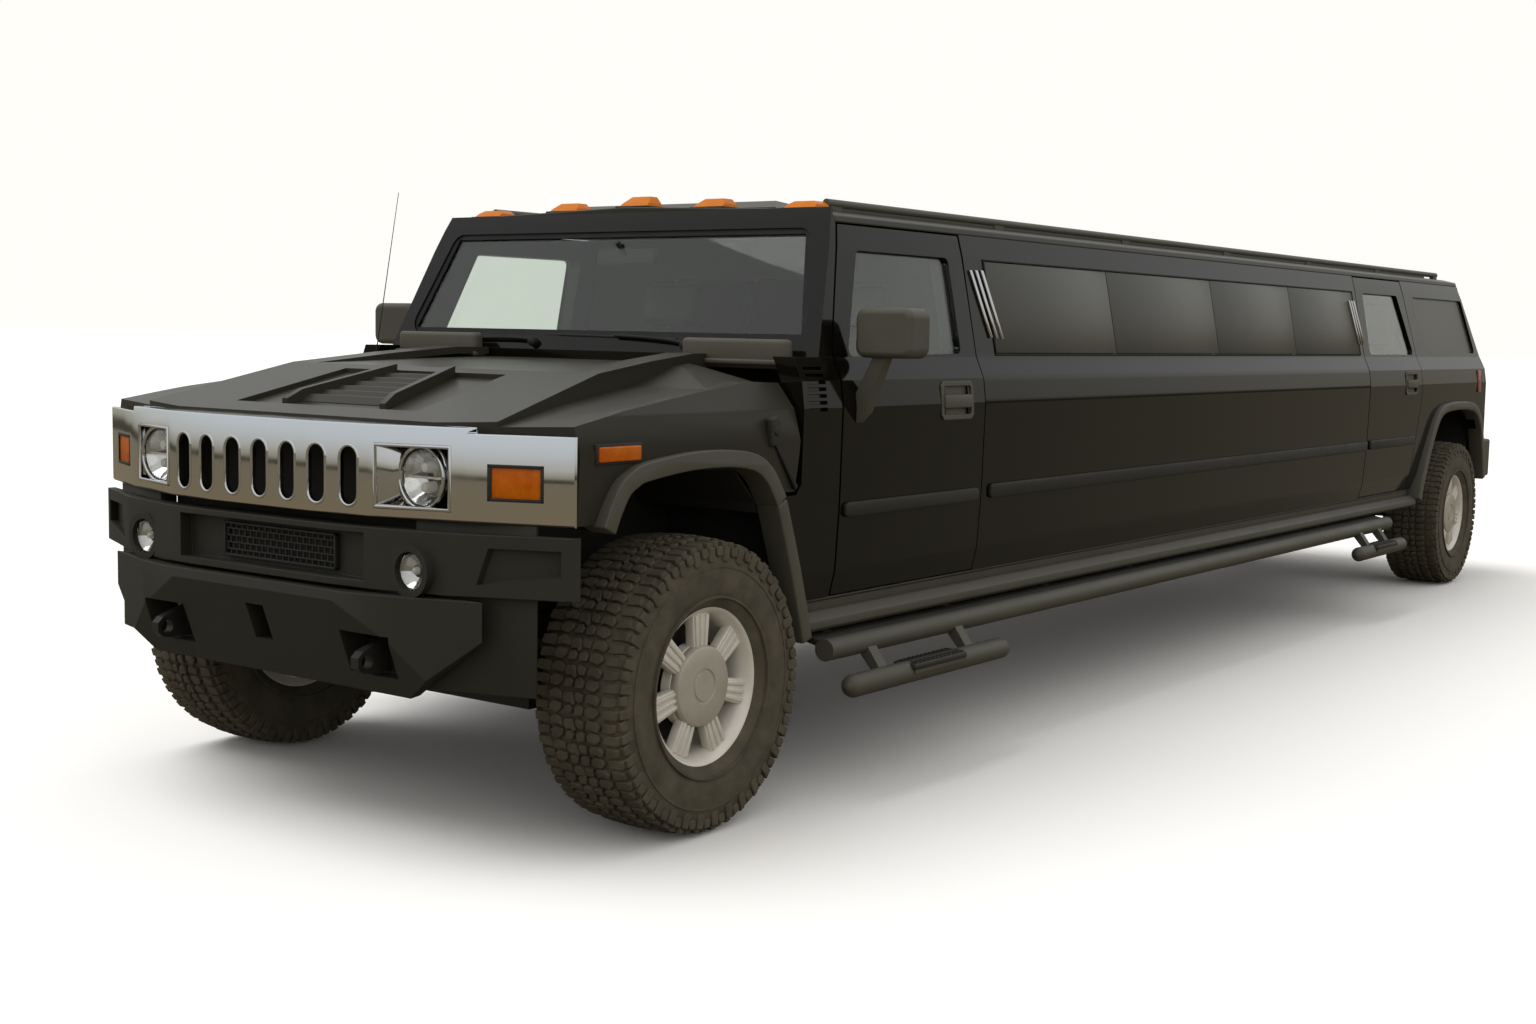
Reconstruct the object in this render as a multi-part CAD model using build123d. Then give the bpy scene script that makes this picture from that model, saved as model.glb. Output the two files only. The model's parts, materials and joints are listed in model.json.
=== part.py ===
from build123d import *
import os

# Stretch limousine on a large off-road wagon. Millimetres, +Z up, front towards -Y, the vehicle's left
# side at +X, origin on the ground under the middle of the overall length.

# ------------------------------------------------------------------ driving dimensions
STRETCH = 4191.0             # length let in behind the front doors
WAGON_WHEELBASE = 3118.0
FRONT_OVERHANG = 813.0
REAR_OVERHANG = 890.0
TRACK = 1763.0               # between the tyres' middle planes

TYRE_RADIUS = 430.0
TYRE_WIDTH = 315.0
RIM_RADIUS = 234.0           # outer lip of the rim
BARREL_RADIUS = 205.0        # inside of the rim's barrel
SPINDLE_RADIUS = 35.0
RUNNING_GAP = 0.3            # between a shaft, pin or cushion and its seat

SHUT_GAP = 6.0               # between a lid or door and the panels round it
HINGE_GAP = 9.0              # the same gap at a door's hinged edge
WALL = 60.0                  # fixed side wall
DOOR_WALL = 80.0             # doors and liftgate
GLASS = 8.0
GLASS_INSET = 14.0           # from the outer skin to the pane
HOOD_SKIN = 24.0
PIN_RADIUS = 5.0
KNUCKLE_RADIUS = 10.0

SILL_Z = 615.0               # bottom edge of doors and panels
BELT_Z = 1372.0              # bottom of the glass zone
GUTTER_Z = 1800.0            # top of the side walls
ROOF_RISE = 68.0             # crown of the roof above them
FRAME_Z = 480.0              # underside of the frame rails
FRAME_HIGH = 120.0
FLOOR_Z = FRAME_Z + FRAME_HIGH
FLOOR_THICK = 30.0
LOAD_FLOOR_Z = FLOOR_Z + 120  # raised floor over the rear axle
RAIL_X = 440.0               # middle of a frame rail
RAIL_WIDE = 80.0

LENGTH = FRONT_OVERHANG + WAGON_WHEELBASE + STRETCH + REAR_OVERHANG
Y_NOSE = -LENGTH / 2
Y_FRONT = Y_NOSE + FRONT_OVERHANG                    # front axle
Y_REAR = Y_FRONT + WAGON_WHEELBASE + STRETCH         # rear axle
Y_TAIL = -Y_NOSE
AXLE_Z = TYRE_RADIUS
WHEEL_X = TRACK / 2

# Outer face of the body side: height, half width.
SIDE_SECTION = [
    (SILL_Z - 60, 952), (SILL_Z, 966), (700, 986), (900, 998), (1215, 1005), (1300, 994),
    (BELT_Z, 962), (1720, 893), (GUTTER_Z, 872), (GUTTER_Z + 60, 856),
]
SKIN_X = max(x for _, x in SIDE_SECTION)

# Stations along the vehicle: front ones hang on the front axle, rear ones on the rear axle.
HOOD_FRONT = Y_NOSE + 181
HOOD_REAR = Y_FRONT + 585
HOOD_HINGE = (HOOD_FRONT + 32, 1168.0)
HOOD_UNDER = 1300.0          # lowest edge of the hood over the scuttle
SCUTTLE_Z = HOOD_UNDER - 42  # underside of the scuttle
COWL_Y = Y_FRONT + 500
A_POST_Y = Y_FRONT + 466
DOOR1_Y = (Y_FRONT + 682, Y_FRONT + 1570)
DOOR2_Y = (Y_REAR - 1599, Y_REAR - 700)
ROOF_FRONT = Y_FRONT + 800
GATE_TOP = (Y_TAIL - 555, GUTTER_Z - 29)
GATE_KNEE = (Y_TAIL - 294, 1353.0)
GATE_FOOT_Y = Y_TAIL - 240
GATE_HALF = 800.0
GATE_FOOT_Z = 870.0


# ------------------------------------------------------------------ helpers
def block(x, y, z):
    """Box from three (low, high) pairs."""
    size = [high - low for low, high in (x, y, z)]
    middle = [(high + low) / 2 for low, high in (x, y, z)]
    return Pos(*middle) * Box(*size)


def outline(points, radius=0.0, corners=None):
    """Flat face through the points, with the named corners (all of them by default) rounded."""
    face = Polygon(*points, align=None)
    if radius > 0:
        chosen = points if corners is None else [points[i] for i in corners]
        picked = [v for v in face.vertices() if any(abs(v.X - a) + abs(v.Y - b) < 0.01 for a, b in chosen)]
        face = fillet(picked, radius)
    return face


def prism_x(points, x0, x1, radius=0.0, corners=None):
    """Solid between two X planes; points are (Y, Z)."""
    return extrude(Plane.YZ.offset(x0) * outline(points, radius, corners), x1 - x0, dir=(1, 0, 0))


def prism_y(points, y0, y1, radius=0.0, corners=None):
    """Solid between two Y planes; points are (X, Z)."""
    plane = Plane(origin=(0, y0, 0), x_dir=(1, 0, 0), z_dir=(0, -1, 0))
    return extrude(plane * outline(points, radius, corners), y1 - y0, dir=(0, 1, 0))


def prism_z(points, z0, z1, radius=0.0, corners=None):
    """Solid between two Z planes; points are (X, Y)."""
    return extrude(Plane.XY.offset(z0) * outline(points, radius, corners), z1 - z0, dir=(0, 0, 1))


def rod(start, end, radius):
    """Round bar between two points."""
    line = Line(start, end)
    return extrude(Plane(origin=start, z_dir=line % 0) * Circle(radius), line.length)


def right_of(left):
    """The same piece on the vehicle's right side."""
    return mirror(left, about=Plane.YZ)


def both(left):
    """A piece and its twin on the other side."""
    return Part(children=[]) + left + right_of(left)


def both_ways(left):
    """Outline through points on the left and their twins on the right."""
    return left + [(-x, y) for x, y in reversed(left)]


def half_width(z):
    """Half width of the body at a height."""
    for (z0, x0), (z1, x1) in zip(SIDE_SECTION, SIDE_SECTION[1:]):
        if z0 <= z <= z1:
            return x0 + (x1 - x0) * (z - z0) / (z1 - z0)
    raise ValueError(z)


def body_prism(y0, y1, inset=0.0):
    """Solid inside the body sides, drawn in by the inset."""
    right = [(-x + inset, z) for z, x in SIDE_SECTION]
    left = [(x - inset, z) for z, x in reversed(SIDE_SECTION)]
    return prism_y(right + left, y0, y1)


def side_layer(points, inset, thick, radius=0.0, corners=None):
    """Left wall of the body between two insets, cut to a (Y, Z) outline."""
    ys = [y for y, _ in points]
    y0, y1 = min(ys) - 1, max(ys) + 1
    layer = body_prism(y0, y1, inset) - body_prism(y0 - 1, y1 + 1, inset + thick)
    return layer & prism_x(points, 0, SKIN_X + 50, radius, corners)


def pane(points, radius=0.0):
    """Window pane that fills a (Y, Z) opening of the left wall."""
    return side_layer(points, GLASS_INSET, GLASS, radius)


# ------------------------------------------------------------------ wheels and steering
def tyre(y, side):
    crown, shoulder, bead = TYRE_RADIUS, TYRE_RADIUS - 38, RIM_RADIUS - 14
    half, bulge = TYRE_WIDTH / 2, (TYRE_RADIUS + RIM_RADIUS) / 2
    section = [
        (-half + 34, bead), (-half + 6, bulge - 40), (-half, bulge + 20), (-half + 8, shoulder),
        (-half + 30, crown), (half - 30, crown), (half - 8, shoulder), (half, bulge + 20),
        (half - 6, bulge - 40), (half - 34, bead),
    ]
    ring = revolve(Plane.XY * outline(section), Axis.X)
    return Pos(side * WHEEL_X, y, AXLE_Z) * ring


SPOKES = 7
WINDOW_WIDE = 116.0          # between two spokes, at the lip
WINDOW_DEEP = 84.0           # from cap to lip
WINDOW_MIDDLE = 159.0        # its distance from the wheel's axis
WINDOW_FLANK = 66.0          # slope of its sides, degrees
CAP_RADIUS = 112.0
CAP_PROUD = 20.0


def rim(y, side):
    half = TYRE_WIDTH / 2 - 34
    barrel = [
        (-half, BARREL_RADIUS), (half - 62, BARREL_RADIUS), (half - 62, 0), (half - 22, 0),
        (half - 6, BARREL_RADIUS - 15), (half, RIM_RADIUS - 14), (-half, RIM_RADIUS - 14),
    ]
    wheel = revolve(Plane.XY * outline(barrel), Axis.X)
    window = Pos(half - 100, 0, 0) * (Rot(0, 90, 0) * extrude(
        Pos(0, WINDOW_MIDDLE) * Trapezoid(WINDOW_WIDE, WINDOW_DEEP, WINDOW_FLANK, rotation=180), 160))
    for turn in range(SPOKES):
        wheel -= Rot(360 / SPOKES * turn, 0, 0) * window
    hub = Pos(half - 62 - 40, 0, 0) * (Rot(0, 90, 0) * Cylinder(70, 90, align=(Align.CENTER, Align.CENTER, Align.MIN)))
    bore = Pos(-half, 0, 0) * (Rot(0, 90, 0) * Cylinder(
        SPINDLE_RADIUS + RUNNING_GAP, half * 2 - 62 - 20, align=(Align.CENTER, Align.CENTER, Align.MIN)))
    cap = Pos(half - 24, 0, 0) * (Rot(0, 90, 0) * Cylinder(
        CAP_RADIUS, CAP_PROUD, align=(Align.CENTER, Align.CENTER, Align.MIN)))
    wheel = wheel + hub + cap - bore
    if side < 0:
        wheel = right_of(wheel)
    return Pos(side * WHEEL_X, y, AXLE_Z) * wheel


KINGPIN_X = WHEEL_X - 96
ARM_BACK = 135.0             # steering arm behind the kingpin
ARM_IN = 40.0
ARM_Z = AXLE_Z - 36
TIE_ROD_RADIUS = 14.0


def knuckle():
    x = KINGPIN_X
    body = Pos(x, Y_FRONT, AXLE_Z) * Cylinder(45, 210)
    spindle = rod((x, Y_FRONT, AXLE_Z), (WHEEL_X + 36, Y_FRONT, AXLE_Z), SPINDLE_RADIUS)
    arm = block((x - ARM_IN - 18, x - ARM_IN + 18), (Y_FRONT + 5, Y_FRONT + ARM_BACK + 18), (ARM_Z - 16, ARM_Z))
    return body + spindle + arm


def tie_rod():
    z = ARM_Z + RUNNING_GAP + TIE_ROD_RADIUS
    end = KINGPIN_X - ARM_IN
    bar = rod((-end, Y_FRONT + ARM_BACK, z), (end, Y_FRONT + ARM_BACK, z), TIE_ROD_RADIUS)
    eye = Pos(end, Y_FRONT + ARM_BACK, z) * Cylinder(TIE_ROD_RADIUS + 4, TIE_ROD_RADIUS * 1.6)
    return bar + both(eye)


def front_suspension():
    inner = RAIL_X - RAIL_WIDE / 2
    seat = KINGPIN_X - 45 - RUNNING_GAP
    arms = None
    for z, high, root in ((AXLE_Z - 80, 34, inner - 40), (AXLE_Z + 84, 26, inner + RAIL_WIDE)):
        for y in (-120, 120):
            leg = prism_z(
                [(root, Y_FRONT + y - 24), (root, Y_FRONT + y + 24), (seat, Y_FRONT + 22),
                 (seat, Y_FRONT - 22)], z - high / 2, z + high / 2)
            arms = leg if arms is None else arms + leg
    shaft = rod((110, Y_FRONT, AXLE_Z), (seat, Y_FRONT, AXLE_Z), 22)
    diff = Pos(0, Y_FRONT, AXLE_Z) * Cylinder(110, 240, rotation=(0, 90, 0))
    cradle = block((-inner - 55, inner + 55), (Y_FRONT - 150, Y_FRONT + 130), (AXLE_Z - 120, AXLE_Z - 90))
    hangers = block((inner + 5, inner + 55), (Y_FRONT - 150, Y_FRONT + 100), (AXLE_Z - 100, FRAME_Z))
    return both(arms) + both(shaft) + diff + cradle + both(hangers)


def rear_axle():
    """Axle tube with brake discs and spindles, turned in one; links and coils beside it."""
    end = WHEEL_X + 36
    half = [
        (0, 150), (70, 130), (120, 50), (WHEEL_X - 160, 50), (WHEEL_X - 160, 160), (WHEEL_X - 120, 160),
        (WHEEL_X - 120, SPINDLE_RADIUS), (end, SPINDLE_RADIUS),
    ]
    profile = [(end, 0), (-end, 0)] + [(-x, r) for x, r in reversed(half)] + half[1:]
    turned = Pos(0, Y_REAR, AXLE_Z) * revolve(Plane.XY * outline(profile), Axis.X)
    link = block((RAIL_X + 50, RAIL_X + 100), (Y_REAR - 700, Y_REAR + 30), (AXLE_Z - 70, AXLE_Z - 20))
    hanger = block((RAIL_X + 40, RAIL_X + 100), (Y_REAR - 700, Y_REAR - 640), (AXLE_Z - 70, FRAME_Z + 40))
    coil = rod((570, Y_REAR + 30, AXLE_Z), (570, Y_REAR + 30, LOAD_FLOOR_Z), 50)
    return turned + both(link) + both(hanger) + both(coil)


# ------------------------------------------------------------------ frame and mechanical units
BAYS = 6                     # frame bays between the cab and the rear axle
RAIL_NOSE = Y_FRONT - 690


def ladder_frame():
    high = FRAME_Z + FRAME_HIGH
    kick = LOAD_FLOOR_Z - FLOOR_Z
    path = [
        (RAIL_NOSE, FRAME_Z), (LOAD_Y + 20, FRAME_Z), (Y_REAR - 300, FRAME_Z + kick),
        (Y_REAR + 300, FRAME_Z + kick), (Y_REAR + 480, FRAME_Z), (Y_TAIL - 150, FRAME_Z),
    ]
    profile = path + [(y, z + FRAME_HIGH) for y, z in reversed(path)]
    rail = prism_x(profile, RAIL_X - RAIL_WIDE / 2, RAIL_X + RAIL_WIDE / 2)
    frame = both(rail)
    bay = (Y_REAR - 700 - Y_FRONT - 1320) / BAYS
    members = [(Y_FRONT + 1320 + bay * n, high - 40) for n in range(BAYS + 1)]
    members += [(RAIL_NOSE + 60, high - 90), (Y_REAR + 260, high + kick - 40), (Y_TAIL - 190, high - 60)]
    for y, z in members:
        frame += block((-RAIL_X, RAIL_X), (y - 40, y + 40), (z, z + 40))
    return frame


def powertrain():
    engine = block((-290, 290), (Y_FRONT - 420, Y_FRONT + 380), (FRAME_Z + FRAME_HIGH + 20, 1050))
    sump = block((-140, 140), (Y_FRONT + 240, Y_FRONT + 380), (FRAME_Z + 20, FRAME_Z + FRAME_HIGH + 30))
    gearbox = rod((0, Y_FRONT + 370, 520), (0, Y_FRONT + 1240, 520), 66)
    shaft = rod((0, Y_FRONT + 1240, 512), (0, Y_REAR - 150.5, AXLE_Z + 12), 38)
    return engine + sump + gearbox + shaft


def exhaust():
    z, box = 445.0, Y_FRONT + 1500
    pipe = rod((-260, Y_FRONT + 300, z), (-260, box, z), 32)
    muffler = rod((-260, box, z), (-260, box + 600, z), 80)
    tail = rod((-260, box + 600, z), (-260, Y_REAR - 900, z), 32)
    hanger = block((-280, -240), (box + 250, box + 350), (z, FLOOR_Z))
    return pipe + muffler + tail + hanger


TANK_Y = (Y_FRONT + 2700, Y_FRONT + 4000)
TANK_Z = (FRAME_Z - 80, FLOOR_Z - 40)


def fuel_tank():
    return block((100, RAIL_X - RAIL_WIDE / 2 - 20), TANK_Y, TANK_Z)


# ------------------------------------------------------------------ floor and inner structure
DOOR_SWEEP = 24.0            # room for a door's inner front corner as it swings
FLOOR_HALF = half_width(SILL_Z) - DOOR_WALL - DOOR_SWEEP
HOUSE_GAP = 34.0             # from a rear tyre's inner wall to its wheelhouse
HOUSE_X = TRACK / 2 - TYRE_WIDTH / 2 - HOUSE_GAP   # inner face of the rear wheelhouses
HOUSE_Y = 540.0
HOUSE_Z = 1090.0
SHEET = 10.0                 # pressed inner panels
LOAD_Y = Y_REAR - HOUSE_Y - 20


def floor_pan():
    top = FLOOR_Z + FLOOR_THICK
    low = block((-FLOOR_HALF, FLOOR_HALF), (COWL_Y, LOAD_Y), (FLOOR_Z, top))
    riser = block((-FLOOR_HALF, FLOOR_HALF), (LOAD_Y, LOAD_Y + 20), (FLOOR_Z, LOAD_FLOOR_Z + FLOOR_THICK))
    tail = GATE_FOOT_Y - DOOR_WALL - SHUT_GAP - 8
    raised = block((-HOUSE_X, HOUSE_X), (LOAD_Y + 20, tail), (LOAD_FLOOR_Z, LOAD_FLOOR_Z + FLOOR_THICK))
    wing = block((HOUSE_X, half_width(LOAD_FLOOR_Z) - WALL - RUNNING_GAP), (Y_REAR + HOUSE_Y, tail), (LOAD_FLOOR_Z, LOAD_FLOOR_Z + FLOOR_THICK))
    return low + riser + raised + both(wing)


def rear_wheelhouses():
    ys = (Y_REAR - HOUSE_Y, Y_REAR + HOUSE_Y)
    shell = block((HOUSE_X, SKIN_X), ys, (FLOOR_Z, HOUSE_Z))
    shell -= block((HOUSE_X + SHEET, SKIN_X + 1), (ys[0] + SHEET, ys[1] - SHEET), (FLOOR_Z - 1, HOUSE_Z - SHEET))
    return both(shell & body_prism(ys[0] - 1, ys[1] + 1, WALL))


def bulkhead():
    """Firewall with the scuttle box on top and the posts beside the doors."""
    half = half_width(BELT_Z) - DOOR_WALL
    low = SCUTTLE_Z
    wall = block((-FLOOR_HALF, FLOOR_HALF), (COWL_Y, COWL_Y + 40), (FLOOR_Z + FLOOR_THICK, low + 10))
    deck = block((-half, half), (COWL_Y, A_PILLAR_Y), (low, HOOD_UNDER - 12))
    step = block((-half, half), (HOOD_REAR + SHUT_GAP, A_PILLAR_Y), (low, BELT_Z))
    return wall + deck + step


A_PILLAR_Y = DOOR1_Y[0] - HINGE_GAP


VENTS = 7
VENT_Y, VENT_Z, VENT_DEEP = (A_POST_Y + 26, A_POST_Y + 126), (1206.0, 1352.0), 14.0


def cowl_sides():
    """Fixed side between the hood's rear edge and the front door."""
    shape = [
        (A_POST_Y, BELT_Z), (A_POST_Y, 985), (A_POST_Y - 26, 954), (A_POST_Y - 92, 954), (A_POST_Y - 12, SILL_Z),
        (A_PILLAR_Y, SILL_Z), (A_PILLAR_Y, BELT_Z),
    ]
    side = side_layer(shape, 0, DOOR_WALL)
    low, high = VENT_Z
    pitch = (high - low) / VENTS
    for n in range(VENTS):
        z = low + pitch * n
        side -= block((0, SKIN_X + 1), VENT_Y, (z, z + pitch * 0.55)) - body_prism(A_POST_Y, A_PILLAR_Y, VENT_DEEP)
    return both(side)


# ------------------------------------------------------------------ wheel arches
FLARE = 48.0                 # width of the arch moulding
FLARE_OUT = 26.0             # its depth outside the body side
LINER = 8.0
LINER_X = (470.0, 940.0)     # from the apron to just inside the hood's sides
LINER_STEP_Z = 905.0
FULL_LOCK_Y = 466.0          # the tyre stays ahead of this at full lock
FLARE_SPLIT_Z = 960.0        # the front moulding rides on the hood above this
FRONT_ARCH = [(-452, 200), (-452, 960), (-330, 1070), (0, 1100), (220, 1085), (345, 965), (420, 780), (500, 505), (500, 200)]
REAR_ARCH = [(-720, 200), (-720, 560), (-560, 880), (-400, 1070), (-200, 1100), (200, 1100), (400, 1060), (540, 900), (620, 620), (620, 200)]


def arch_face(points, axle_y, inset=0.0):
    face = outline([(axle_y + y, z) for y, z in points], 60, range(2, len(points) - 2))
    return offset(face, -inset, kind=Kind.INTERSECTION) if inset else face


def arch_prism(points, axle_y, inset, x0, x1):
    return extrude(Plane.YZ.offset(x0) * arch_face(points, axle_y, inset), x1 - x0, dir=(1, 0, 0))


def flare(points, axle_y, front_z, rear_z, x0):
    """Arch moulding: a band on the body side, from x0 outwards."""
    x1 = SKIN_X + FLARE_OUT
    band = arch_prism(points, axle_y, 0, x0, x1) - arch_prism(points, axle_y, FLARE, x0 - 1, x1 + 1)
    band -= block((x0 - 1, x1 + 1), (axle_y - 1000, axle_y), (0, front_z))
    band -= block((x0 - 1, x1 + 1), (axle_y, axle_y + 1000), (0, rear_z))
    return both(band)


def front_liners():
    """Inner arch over the wheel, stepped back behind it for full lock, and the apron beside the engine."""
    apron_x, wide = LINER_X
    shell = arch_prism(FRONT_ARCH, Y_FRONT, FLARE - LINER, apron_x, wide)
    shell -= arch_prism(FRONT_ARCH, Y_FRONT, FLARE, apron_x - 1, wide + 1)
    shell -= block((apron_x - 1, wide + 1), (Y_FRONT - 1000, Y_FRONT + 1000), (0, LINER_STEP_Z))
    rear = Y_FRONT + FULL_LOCK_Y
    inner = FLOOR_HALF + DOOR_SWEEP - SHUT_GAP
    shelf = block((apron_x, inner), (Y_FRONT + 325, rear + LINER), (LINER_STEP_Z, LINER_STEP_Z + LINER))
    back = block((apron_x, inner), (rear, rear + LINER), (FLOOR_Z, LINER_STEP_Z + LINER))
    apron = block((apron_x - SHEET, apron_x), (Y_FRONT - 600, COWL_Y), (FLOOR_Z, 1105))
    return both(shell + shelf + back + apron)


# ------------------------------------------------------------------ side walls, doors and glass
WINDOW_Z = (1384.0, 1714.0)
DOOR_TOP = GUTTER_Z - SHUT_GAP
DOOR_FOOT = SILL_Z + SHUT_GAP
STRETCH_Y = (DOOR1_Y[1] + SHUT_GAP, DOOR2_Y[0] - HINGE_GAP)
SALOON_Y = (Y_FRONT + 1718, Y_REAR - 1668)
PILLARS = 3                  # slim posts between the saloon panes
PILLAR_WIDE = 34.0

WINDOW1 = [
    (DOOR1_Y[0] + 78, WINDOW_Z[0] - 12), (DOOR1_Y[1] - 100, WINDOW_Z[0]), (DOOR1_Y[1] - 100, WINDOW_Z[1]),
    (DOOR1_Y[0] + 213, WINDOW_Z[1]),
]
WINDOW2 = [
    (DOOR2_Y[0] + 96, WINDOW_Z[0]), (DOOR2_Y[1] - 50, WINDOW_Z[0]), (DOOR2_Y[1] - 210, WINDOW_Z[1]),
    (DOOR2_Y[0] + 110, WINDOW_Z[1]),
]
QUARTER_WINDOW = [
    (Y_REAR - 490, WINDOW_Z[0] + 10), (Y_REAR + 491, WINDOW_Z[0] + 10), (Y_REAR + 342, WINDOW_Z[1]),
    (Y_REAR - 640, WINDOW_Z[1]),
]
FRONT_DOOR = [
    (DOOR1_Y[0], DOOR_FOOT), (DOOR1_Y[0], 1400), (DOOR1_Y[0] + 131, DOOR_TOP), (DOOR1_Y[1], DOOR_TOP),
    (DOOR1_Y[1], DOOR_FOOT),
]
REAR_DOOR = [
    (DOOR2_Y[0], DOOR_FOOT), (DOOR2_Y[0], DOOR_TOP), (DOOR2_Y[1] - 104, DOOR_TOP), (DOOR2_Y[1], 1356),
    (DOOR2_Y[1], 1120), (DOOR2_Y[1] - 60, 900), (DOOR2_Y[1] - 110, DOOR_FOOT),
]
STRETCH_PANEL = [
    (STRETCH_Y[0], SILL_Z), (STRETCH_Y[0], GUTTER_Z), (STRETCH_Y[1], GUTTER_Z), (STRETCH_Y[1], SILL_Z),
]


HINGE_X = SKIN_X - 21
HINGE_BACK = 60.0
HINGE_Z = (870.0, 1170.0)
HINGE_HIGH = 64.0
EAR = 8.0


def door_swing(shape, axis_y):
    """Solid turned about a door's hinge axis from its rear outline, so that the rear edge clears as it opens."""
    rear = [(y - axis_y, z) for y, z in shape if y > axis_y + 200]
    profile = [(0, DOOR_FOOT), (0, DOOR_TOP)] + (rear if rear[0][1] > rear[-1][1] else rear[::-1])
    plane = Plane(origin=(HINGE_X, axis_y, 0), x_dir=(0, 1, 0), z_dir=(1, 0, 0))
    return revolve(plane * outline(profile), Axis((HINGE_X, axis_y, 0), (0, 0, 1)))


HANDLE_LONG, HANDLE_DEEP, HANDLE_BACK = 150.0, 14.0, 190.0
HANDLE_Z = (1165.0, 1285.0)


def door(shape, window):
    """Door with its window cut out and a pocket with a knuckle at each hinge."""
    front = shape[0][0]
    axis_y = front + HINGE_BACK
    leaf = side_layer(shape, 0, DOOR_WALL) - prism_x(window, 0, SKIN_X + 1, 24)
    leaf &= door_swing(shape, axis_y) + block((0, SKIN_X + 1), (front - 1, axis_y + 1), (0, GUTTER_Z))
    pocket = KNUCKLE_RADIUS - 2
    for z in HINGE_Z:
        low, high = z - HINGE_HIGH / 2 - 2, z + HINGE_HIGH / 2 + 2
        leaf -= block((HINGE_X - 120, HINGE_X + pocket), (front - 1, axis_y + pocket), (low, high))
        knuckle_high = HINGE_HIGH - 2 * EAR - 2
        leaf += Pos(HINGE_X, axis_y, z) * Cylinder(KNUCKLE_RADIUS, knuckle_high)
        leaf -= Pos(HINGE_X, axis_y, z) * Cylinder(PIN_RADIUS + RUNNING_GAP, knuckle_high + 10)
    y = max(y for y, _ in shape) - HANDLE_BACK
    cup = block((0, SKIN_X + 9), (y - HANDLE_LONG / 2, y + HANDLE_LONG / 2), HANDLE_Z)
    leaf -= cup - body_prism(y - HANDLE_LONG, y + HANDLE_LONG, HANDLE_DEEP)
    middle = sum(HANDLE_Z) / 2
    leaf += block((SKIN_X - 40, SKIN_X + 6), (y - HANDLE_LONG / 2, y + HANDLE_LONG / 2), (middle - 22, middle + 14)) - (
        body_prism(y - HANDLE_LONG, y + HANDLE_LONG, HANDLE_DEEP + 1))
    return leaf


def door_hinges():
    """Pins and their two ears, fixed to the panel in front of each door."""
    ears = None
    inward, half = 55.0, 5.0
    for front in (DOOR1_Y[0], DOOR2_Y[0]):
        axis_y = front + HINGE_BACK
        for z in HINGE_Z:
            plate = None
            for z0 in (z - HINGE_HIGH / 2, z + HINGE_HIGH / 2 - EAR):
                zs = (z0, z0 + EAR)
                leg = block((HINGE_X - inward - half, HINGE_X), (axis_y - half, axis_y + half), zs)
                leg += block((HINGE_X - inward - half, HINGE_X - inward + half), (front - HINGE_GAP, axis_y), zs)
                plate = leg if plate is None else plate + leg
            plate += block(
                (HINGE_X - inward - half, HINGE_X - inward + half), (front - HINGE_GAP, front - 3),
                (z - HINGE_HIGH / 2, z + HINGE_HIGH / 2))
            plate += Pos(HINGE_X, axis_y, z) * Cylinder(PIN_RADIUS, HINGE_HIGH)
            ears = plate if ears is None else ears + plate
    return both(ears)


def saloon_windows():
    """Openings of the stretch panel, between slim posts."""
    low, high = SALOON_Y
    wide = (high - low - PILLARS * PILLAR_WIDE) / (PILLARS + 1)
    starts = [low + n * (wide + PILLAR_WIDE) for n in range(PILLARS + 1)]
    return [[(y, WINDOW_Z[0]), (y + wide, WINDOW_Z[0]), (y + wide, WINDOW_Z[1]), (y, WINDOW_Z[1])] for y in starts]


def stretch_panel():
    panel = side_layer(STRETCH_PANEL, 0, WALL)
    for window in saloon_windows():
        panel -= prism_x(window, 0, SKIN_X + 1)
    return panel


def rear_outline(back, foot):
    """(Y, Z) outline of the tail end, moved forward by back and down to foot."""
    return [
        (GATE_TOP[0] - back - 7, GUTTER_Z), (GATE_TOP[0] - back, GATE_TOP[1]), (GATE_KNEE[0] - back, GATE_KNEE[1]),
        (GATE_FOOT_Y - back, GATE_FOOT_Z + 10), (GATE_FOOT_Y - back, foot),
    ]


def quarter_panel():
    """Rear side wall over the arch, with the post beside the liftgate."""
    gap = SHUT_GAP
    front = [
        (DOOR2_Y[1] + gap - 110, SILL_Z), (DOOR2_Y[1] + gap - 60, 900), (DOOR2_Y[1] + gap, 1120),
        (DOOR2_Y[1] + gap, 1356), (DOOR2_Y[1] + gap - 106, GUTTER_Z),
    ]
    whole = front + rear_outline(0, SILL_Z)
    panel = side_layer(whole, 0, WALL)
    band = prism_x(rear_outline(0, SILL_Z) + list(reversed(rear_outline(WALL, SILL_Z))), GATE_HALF + SHUT_GAP, SKIN_X + 1)
    panel += band & body_prism(Y_REAR, Y_TAIL)
    panel -= arch_prism(REAR_ARCH, Y_REAR, FLARE - LINER, 0, SKIN_X + 1)
    return panel - prism_x(QUARTER_WINDOW, 0, SKIN_X + 1, 24)


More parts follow.
